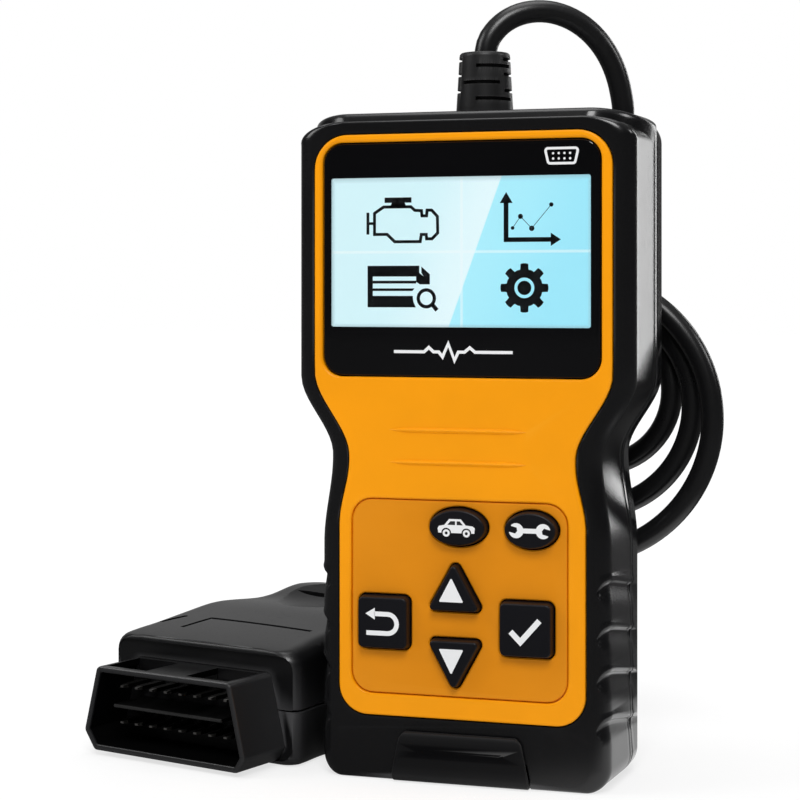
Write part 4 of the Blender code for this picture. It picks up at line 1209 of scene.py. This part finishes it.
def sweep(points, radius, segments, pace):
    """Rings of a round tube along a Catmull-Rom curve, about one every pace mm."""
    path = []
    last = len(points) - 1
    for i in range(last):
        before, start = points[max(0, i - 1)], points[i]
        end, after = points[i + 1], points[min(last, i + 2)]
        steps = max(1, round((end - start).length / pace))
        for j in range(steps):
            t = j / steps
            path.append(0.5 * ((2 * start) + (end - before) * t
                               + (2 * before - 5 * start + 4 * end - after) * t ** 2
                               + (3 * start - before - 3 * end + after) * t ** 3))
    path.append(points[-1])
    tangent = (path[1] - path[0]).normalized()
    side = tangent.orthogonal().normalized()
    rings = []
    for i, point in enumerate(path):
        heading = (path[min(i + 1, len(path) - 1)] - path[max(i - 1, 0)]).normalized()
        side = tangent.rotation_difference(heading) @ side
        tangent = heading
        side = (side - tangent * side.dot(tangent)).normalized()
        other = tangent.cross(side)
        angles = [2 * math.pi * k / segments for k in range(segments)]
        rings.append([point + (side * math.cos(angle) + other * math.sin(angle)) * radius
                      for angle in angles])
    return rings


def cable():
    tube = solid(sweep(cable_path(), CABLE_RADIUS, segments=28, pace=1.3))
    ob = piece("cable_run", tube, "cable_jacket", replaces="cable", sharp=60, ride=False)
    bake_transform(ob)


def screws():
    """Threaded screws with a cross recess, seen from the back."""
    profile = [(0.2, -5.1), (0.7, -4.4)]  # radius, y
    y = -3.2
    while y < BACK_Y - 3.0:
        profile += [(1.08, y), (0.82, y + 0.35)]
        y += 0.75
    head = ((1.0, 2.2), (1.0, 1.9), (2.15, 1.9), (2.2, 1.2), (2.1, 0.85), (1.8, 0.6),
            (1.2, 0.45), (0.4, 0.4))  # radius, depth below the back
    profile += [(radius, BACK_Y - depth) for radius, depth in head]
    for place, (x, z) in SCREWS.items():
        cuts = []
        for wide, high in ((1.25, 0.26), (0.26, 1.25)):
            cuts.append((CUT, solid([
                at_y(oblong(x - wide * size, z - high * size, x + wide * size,
                            z + high * size), y)
                for size, y in ((1.0, BACK_Y + 0.2), (0.6, BACK_Y - 1.5))])))
        screw = carve(solid(turned(profile, (x, 0, z), "Y", 36)), *cuts)
        piece(f"fine_screw_{place}", screw, "steel", replaces=f"housing_screw_{place}",
              weighted=True, sharp=35)


# ------------------------------------------------------------------------- plug
# In the plug's own frame its front is at y = 0 and its underside at z = 0.
PLUG_LENGTH = 66.0
PLUG_HALF, PLUG_CORNER = 24.8, 3.0  # half width and corner radius at the front
SEAM = 11.6
PLUG_COLUMNS = 16
# (y, half width)
PLUG_SIDES = (
    (PLUG_CORNER, PLUG_HALF), (6.0, 24.6), (10.0, 24.1), (12.0, 24.0), (29.0, 24.0),
    (31.0, 23.95), (33.0, 23.7), (35.0, 23.15), (37.0, 22.3), (39.0, 21.2), (41.0, 20.0),
    (43.0, 18.9), (45.0, 18.1), (47.5, 17.4), (50.0, 17.0), (55.0, 16.8), (57.5, 16.4),
    (59.5, 15.6), (61.5, 14.1), (63.2, 12.2), (64.6, 10.2), (65.5, 8.6), (PLUG_LENGTH, 7.2))


def plug_top(y):
    t = min(1.0, max(0.0, y / 36.0))
    return (23.2 + 0.6 * (1 - smooth(y / 26.0)) + 4.0 * (1.25 * t - 0.25 * t ** 5)
            + 2.0 * smooth((y - 40.0) / 16.0) - 6.0 * smooth((y - 58.5) / 8.5))


def plug_bottom(y):
    return 4.6 * smooth((y - 48.0) / 19.0)


def plug_side():
    """Right side of the plug seen from above: (half width, y), front to back."""
    out = []
    for k in range(7):
        angle = math.pi / 2 * k / 6
        out.append((PLUG_HALF - PLUG_CORNER + PLUG_CORNER * math.sin(angle),
                    PLUG_CORNER - PLUG_CORNER * math.cos(angle)))
    y = PLUG_CORNER
    while y < PLUG_LENGTH - 0.01:
        y = min(PLUG_LENGTH, y + (1.6 if y < 55 else 0.9))
        out.append((between(PLUG_SIDES, y), y))
    return out


SIDE = plug_side()


def plug_loop(inset, height, front=None):
    """A loop round the plug at height(y), inset by front at its front, with points across
    the front and the back too."""
    front = inset if front is None else front
    scale = (PLUG_LENGTH - inset - front) / PLUG_LENGTH
    right = [(max(0.5, width - inset), front + y * scale) for width, y in SIDE]
    (front_x, front_y), (back_x, back_y) = right[0], right[-1]
    columns = range(1, PLUG_COLUMNS)
    points = right + [(back_x - 2 * back_x * i / PLUG_COLUMNS, back_y) for i in columns]
    points += [(-x, y) for x, y in reversed(right)]
    points += [(-front_x + 2 * front_x * i / PLUG_COLUMNS, front_y) for i in columns]
    return [(x, y, height(y)) for x, y in points]


def level(z):
    return lambda y: z


def above(surface, rise):
    return lambda y: surface(y) + rise


def close_plug(mesh, row, crown=0.0):
    """Fills a loop of the plug with a grid, raised by crown along its middle."""
    count = len(SIDE)
    left_start = count + PLUG_COLUMNS - 1
    right, back = row[:count], row[count:left_start]
    left = row[left_start:left_start + count][::-1]
    front = row[left_start + count:][::-1]
    grid = [[right[0]] + front + [left[0]]]
    for i in range(1, count - 1):
        start, end = right[i].co.copy(), left[i].co.copy()
        line = [right[i]]
        for k in range(1, PLUG_COLUMNS):
            t = k / PLUG_COLUMNS
            point = start.lerp(end, t)
            point.z += crown * 4 * t * (1 - t)
            line.append(mesh.verts.new(point))
        grid.append(line + [left[i]])
    grid.append([right[-1]] + back + [left[-1]])
    for line, following in zip(grid, grid[1:]):
        for k in range(PLUG_COLUMNS):
            mesh.faces.new((line[k], line[k + 1], following[k + 1], following[k]))


def plug_half(side, outer, inner, cuts=(), crown=0.0):
    """One shell of the plug from its loops, each list running from the seam."""
    shell = bmesh.new()
    rows = add_rings(shell, outer[::-1] + inner, cap=False)
    close_plug(shell, rows[0], crown)
    close_plug(shell, rows[-1])
    shell = carve(shell, *plug_openings(), *cuts)
    piece(f"plug_cover_{side}", shell, "plug_plastic", "plug", replaces=f"plug_{side}_shell",
          weighted=True, sharp=36)


def shroud(inset, y):
    corners = [(-21.5, 5.2), (-18.7, 1.1), (19.8, 0.9), (21.8, 3.9), (18.0, 19.2),
               (-18.0, 19.2)]
    return at_y(rounded(grown(corners, -inset), max(0.4, 1.3 - inset), 6), y)


def in_bore(point):
    """Whether a point lies inside the shroud's wall or on its inner face."""
    wide = between(((1.0, 17.9), (2.0, 18.9), (5.2, 20.3), (18.0, 17.2)), point.z)
    return 1.9 < point.z < 18.1 and abs(point.x) < wide and point.y < 6.0


def plug_openings():
    """Cuts both shells share: the shallow front recess, the shroud's hole, the cable hole."""
    corners = oblong(-23.9, 1.0, 23.9, 22.95)
    edge, floor_outline = rounded(grown(corners, 0.2), 3.2, 6), rounded(corners, 3.0, 6)
    recess = solid([at_y(edge, -3.0), at_y(edge, -0.01), at_y(floor_outline, 0.2),
                    at_y(floor_outline, 0.9)])
    front = solid([shroud(-0.1, -3.0), shroud(-0.1, 5.5)])
    cable_hole = solid(turned([(4.0, 60.4), (4.0, 68.6)], (0, 0, PIVOT_Z), "Y", 32))
    return [(CUT, recess), (CUT, front), (CUT, cable_hole)]


def top_dish():
    """A spherical dish in the top."""
    radius, y = 34.0, 43.0
    profile = []
    for k in range(15):
        angle = math.radians(0.6 + 1.7 * k)
        profile.append((radius * math.sin(angle), -radius * math.cos(angle)))
    rim, depth = profile[-1]
    profile.append((rim, depth + 5))
    return solid(turned(profile, (0, y, plug_top(y) - 1.25 + radius), segments=64))


def curved_slot():
    """A slot across the top behind the dish's middle, its ends bent to the front."""
    half, wide = 10.2, 1.1
    rings = []
    for i in range(17):
        x = -half + 2 * half * i / 16
        y = 50.6 + 0.9 - 0.9 * (x / half) ** 2 * 2.2
        reach = wide * max(0.06, 1 - (abs(x) / half) ** 6)
        rings.append([(x, y - reach, 27.0), (x, y + reach, 27.0), (x, y + reach, 33.0),
                      (x, y - reach, 33.0)])
    return solid(rings)


def top_grooves():
    """The two straight runs of the groove in the top, following its height."""
    corners = [(-12.4, 9.2), (-11.0, 17.6), (17.0, 16.6)]
    section = ((-0.5, -0.85), (0.5, -0.85), (0.66, 0.9), (-0.66, 0.9))  # across, up
    grooves = []
    for start, end in zip(corners, corners[1:]):
        start, end = Vector(start), Vector(end)
        along = (end - start).normalized()
        normal = Vector((-along.y, along.x))
        rings = []
        for i in range(7):
            overrun = {0: -0.3, 6: 0.3}.get(i, 0.0)
            centre = start.lerp(end, i / 6) + along * overrun
            top = plug_top(centre.y) + 0.12
            rings.append([(centre.x + normal.x * across, centre.y + normal.y * across, top + up)
                          for across, up in section])
        grooves.append(solid(rings))
    return grooves


def left_notch():
    """A notch near the left edge of the top."""
    top = plug_top(15.0)
    outline = rounded([(-21.6, 11.6), (-20.1, 11.2), (-17.6, 17.6), (-18.8, 18.2)], 0.5, 4)
    return solid([[(x, y, z) for x, y in outline] for z in (top - 1.6, top + 3.0)])


def plug_cover_top():
    radius = 3.6
    outer = [plug_loop(0.28, level(SEAM + 0.15)), plug_loop(0.0, level(SEAM + 0.42))]
    for degrees in (0, 15, 30, 45, 60, 75, 90):
        angle = math.radians(degrees)
        inward, down = 1 - math.cos(angle), 1 - math.sin(angle)
        outer.append(plug_loop(radius * inward, above(plug_top, -radius * down),
                               front=0.45 * inward))
    outer.append(plug_loop(radius + 0.8, plug_top, front=0.9))
    inner = [plug_loop(2.0, level(SEAM + 0.15)), plug_loop(2.2, above(plug_top, -3.4)),
             plug_loop(3.6, above(plug_top, -2.6))]
    tools = [top_dish(), curved_slot(), *top_grooves(), left_notch()]
    plug_half("top", outer, inner, [(CUT, tool) for tool in tools], crown=0.25)


def plug_cover_bottom():
    radius = 2.0
    outer = [plug_loop(0.28, level(SEAM - 0.15)), plug_loop(0.0, level(SEAM - 0.42))]
    for degrees in (0, 18, 36, 54, 72, 90):
        angle = math.radians(degrees)
        outer.append(plug_loop(radius * (1 - math.cos(angle)),
                               above(plug_bottom, radius * (1 - math.sin(angle)))))
    inner = [plug_loop(2.0, level(SEAM - 0.15)), plug_loop(2.2, above(plug_bottom, 3.0)),
             plug_loop(3.4, above(plug_bottom, 2.0))]
    plug_half("bottom", outer, inner)


def plug_shroud():
    """The shroud round the pins, with a divider bar, pin slots and two recesses on top."""
    stations = ((0.4, 7.0), (0.0, 6.6), (0.0, -12.5), (0.08, -12.85), (0.28, -13.0),
                (1.0, -13.0), (1.22, -12.85), (1.3, -12.5), (1.3, -1.0))  # inset, y
    body = solid([shroud(inset, y) for inset, y in stations])
    bar = solid([at_y(oblong(-14.6 + inset, 10.4 + inset, 14.6 - inset, 11.15 - inset), y)
                 for y, inset in ((1.0, 0.0), (-11.2, 0.0), (-11.5, 0.18))])
    cuts = []
    for z in (14.6, 6.9):
        for k in range(8):
            x = (k - 3.5) * 4.0
            cuts.append(box((x - 1.0, -3.0, z - 0.65), (x + 1.0, 9.0, z + 0.65)))
    for left, right in ((-16.4, -5.3), (5.3, 16.4)):
        cuts.append(through(oblong(left, 16.9, right, 21.0), -11.6, -0.8))
    body = carve(body, (JOIN, bar), (CUT, solid(*cuts)))
    bmesh.ops.recalc_face_normals(body, faces=body.faces)
    body.faces.index_update()
    body.normal_update()
    inner_faces = {}  # face index to material index: 1 the bore, 2 the divider's tip, both with painted shade
    for face in body.faces:
        centre = face.calc_center_median()
        if not in_bore(centre):
            continue
        if centre.y > -12.4 and face.normal.y > -0.5:
            inner_faces[face.index] = 1
        if -11.7 < centre.y < -11.2 and face.normal.y < -0.3:
            inner_faces[face.index] = 2
    ob = piece("plug_shroud", body, "plug_plastic", "plug", replaces="plug_insert",
               weighted=True, sharp=36)
    # the bore and the divider's tip take these copies of the plug plastic: painted shade inside
    # the shroud
    ob.data.materials.append(materials["shaded_bore_plastic"])
    ob.data.materials.append(materials["shaded_divider_plastic"])
    for i, material_index in inner_faces.items():
        ob.data.polygons[i].material_index = material_index


# One rib of the plug's boot: (inset from the rib's radius, y from its start)
TAIL_RIB = ((0.0, -0.15), (0.1, 0.0), (0.75, 0.15), (0.8, 0.6), (0.75, 1.05), (0.2, 1.2),
            (0.12, 1.35))


def plug_tail():
    """The ribbed rubber boot at the back of the plug, with a round end."""
    bore, end = CABLE_RADIUS + 0.05, 3.2
    profile = [(bore, 58.2), (5.0, 57.8), (5.0, 59.6), (3.7, 59.8), (3.7, 67.3), (4.85, 67.5),
               (4.9, 67.8)]
    for k in range(3):
        y, radius = 69.2 + 3.1 * k, 4.8 - 0.35 * k
        profile += [(radius - inset, y + along) for inset, along in TAIL_RIB]
    for k in range(6):
        angle = math.radians(2 + 12 * k)
        profile.append((end * math.cos(angle), PIVOT_BACK + end * math.sin(angle)))
    profile.append((bore, 81.6))
    piece("plug_tail", solid(turned(profile, (0, 0, PIVOT_Z), "Y"), loop=True), "black_rubber",
          "plug", replaces="plug_boot", sharp=40)


# ------------------------------------------------------------------- frame parts
BEVELLED = ("mcu_chip", "can_transceiver_chip", "voltage_regulator", "clock_crystal")
PIN_TIP = 0.0009  # length of a pin's front end that keeps its own metal, in metres; the shaft behind it is darkened as painted shade


def dress_frame_parts():
    slots = {row["node"]: row["material_slot"] for row in frame["record"]["subparts"]}
    for name, ob in nodes.items():
        is_pin = name.startswith("pin_")
        ob.data.materials.clear()
        ob.data.materials.append(materials.get(slots.get(name, ""), materials["black_plastic"]))
        if is_pin:
            # behind the tip the pin takes a darkened metal: painted shade inside the shroud
            ob.data.materials.append(materials["blade_shaft"])
            front = min((ob.matrix_world @ vertex.co).y for vertex in ob.data.vertices)
            for face in ob.data.polygons:
                at_tip = (ob.matrix_world @ face.center).y < front + PIN_TIP
                face.material_index = 0 if at_tip else 1
        if is_pin or name in BEVELLED:
            bevel = ob.modifiers.new("edge", "BEVEL")
            bevel.width = 0.00008
            bevel.segments = 2
            bevel.limit_method = "ANGLE"


# ------------------------------------------------------------------------ stage
def floor():
    """White paper that brightens to a plain glow away from the product, and looks dark in
    reflections except near a point behind the handset's right side."""
    mesh = bmesh.new()
    bmesh.ops.create_grid(mesh, x_segments=8, y_segments=8, size=4.0)
    ob = mesh_object("floor", mesh)
    ob.location.z = -0.00002
    net = MaterialNet("floor_paper")
    cloud = net.ramp(net.noise(scale=40.0, detail=3.0), start=0.3, end=0.7)
    net.surface(Roughness=0.9, Specular_IOR_Level=0.1,
                Base_Color=net.mix(cloud, (0.90, 0.90, 0.90), (0.92, 0.92, 0.92)))
    radius = net.add("ShaderNodeVectorMath", {0: net.coord}, operation="LENGTH")
    far = net.ramp(radius.outputs["Value"], start=0.07, end=0.17, low=0.66, high=1.0)
    paper = net.mix_shader(far, net.bsdf.outputs[0], net.glow(strength=1.08))
    bright_spot = (0.048, 0.022, 0.0)
    beside = net.add("ShaderNodeVectorMath", {0: net.coord, 1: bright_spot},
                     operation="DISTANCE")
    away = net.ramp(beside.outputs["Value"], start=0.035, end=0.075, low=0.0, high=0.94)
    rays = net.add("ShaderNodeLightPath")
    reflected = net.math("MULTIPLY", rays.outputs["Is Glossy Ray"], away)
    net.put(net.tree.nodes["Material Output"].inputs["Surface"],
            net.mix_shader(reflected, paper, net.glow(strength=0.03)))
    ob.data.materials.append(net.material)


def surroundings():
    """A world that is white to the camera and otherwise lit from above and the rear left."""
    world = bpy.data.worlds.new("studio")
    bpy.context.scene.world = world
    world.use_nodes = True
    world.node_tree.nodes.clear()
    net = Net(world.node_tree, "Generated")
    split = net.add("ShaderNodeSeparateXYZ", {0: net.coord})
    back = net.ramp(split.outputs["Y"], start=0.35, end=0.95, low=0.03, high=0.46)
    up = net.ramp(split.outputs["Z"], start=0.25, end=0.95, low=0.0, high=0.26)
    left = net.ramp(split.outputs["X"], start=-0.25, end=0.15, low=1.0, high=0.18)
    light = net.math("MAXIMUM", net.math("MULTIPLY", back, left), up)
    rays = net.add("ShaderNodeLightPath")
    strength = net.math("MAXIMUM", rays.outputs["Is Camera Ray"], light)
    sky = net.add("ShaderNodeBackground", {"Color": WHITE, "Strength": strength})
    net.add("ShaderNodeOutputWorld", {"Surface": sky.outputs[0]})


def area(name, at, power, size, height=None, towards=(0.0, 0.0, 0.07)):
    """A rectangular light, square unless a height is given."""
    light = bpy.data.lights.new(name, "AREA")
    light.shape = "RECTANGLE"
    light.size = size
    light.size_y = height or size
    light.energy = power
    ob = bpy.data.objects.new(name, light)
    ob.location = at
    ob.rotation_euler = (Vector(towards) - Vector(at)).to_track_quat("-Z", "Y").to_euler()
    bpy.context.scene.collection.objects.link(ob)


def lights():
    area("key", at=(0.25, -0.85, 1.0), power=9.0, size=0.5)
    area("fill", at=(-0.95, -0.45, 0.75), power=3.5, size=0.5)
    area("top", at=(0.0, 0.1, 1.1), power=3.8, size=0.7)
    area("card", at=(0.475, 1.065, 0.3), power=2.0, size=0.15, height=0.8,
         towards=(0.036, 0.0, 0.1))
    area("side", at=(0.95, 0.2, 0.65), power=1.6, size=0.25)


def camera():
    lens = bpy.data.cameras.new("camera")
    lens.lens = 92.25
    lens.sensor_width = 36.0
    lens.shift_y = -0.139
    lens.clip_start, lens.clip_end = 0.01, 20.0
    ob = bpy.data.objects.new("camera", lens)
    ob.location = (0.1139, -0.4099, 0.100)
    ob.rotation_euler = (math.radians(90), 0.0, math.radians(17.7))
    bpy.context.scene.collection.objects.link(ob)
    bpy.context.scene.camera = ob


# ------------------------------------------------------------------------- make
housing_front()
housing_back()
orange_plate()
keypad_panel()
keys()
screen()
cover_pad()
cable_boot()
cable()
screws()
plug_cover_top()
plug_cover_bottom()
plug_shroud()
plug_tail()
dress_frame_parts()

floor()
surroundings()
lights()
camera()
bpy.context.scene.view_settings.view_transform = "Standard"
bpy.context.scene.view_settings.look = "None"
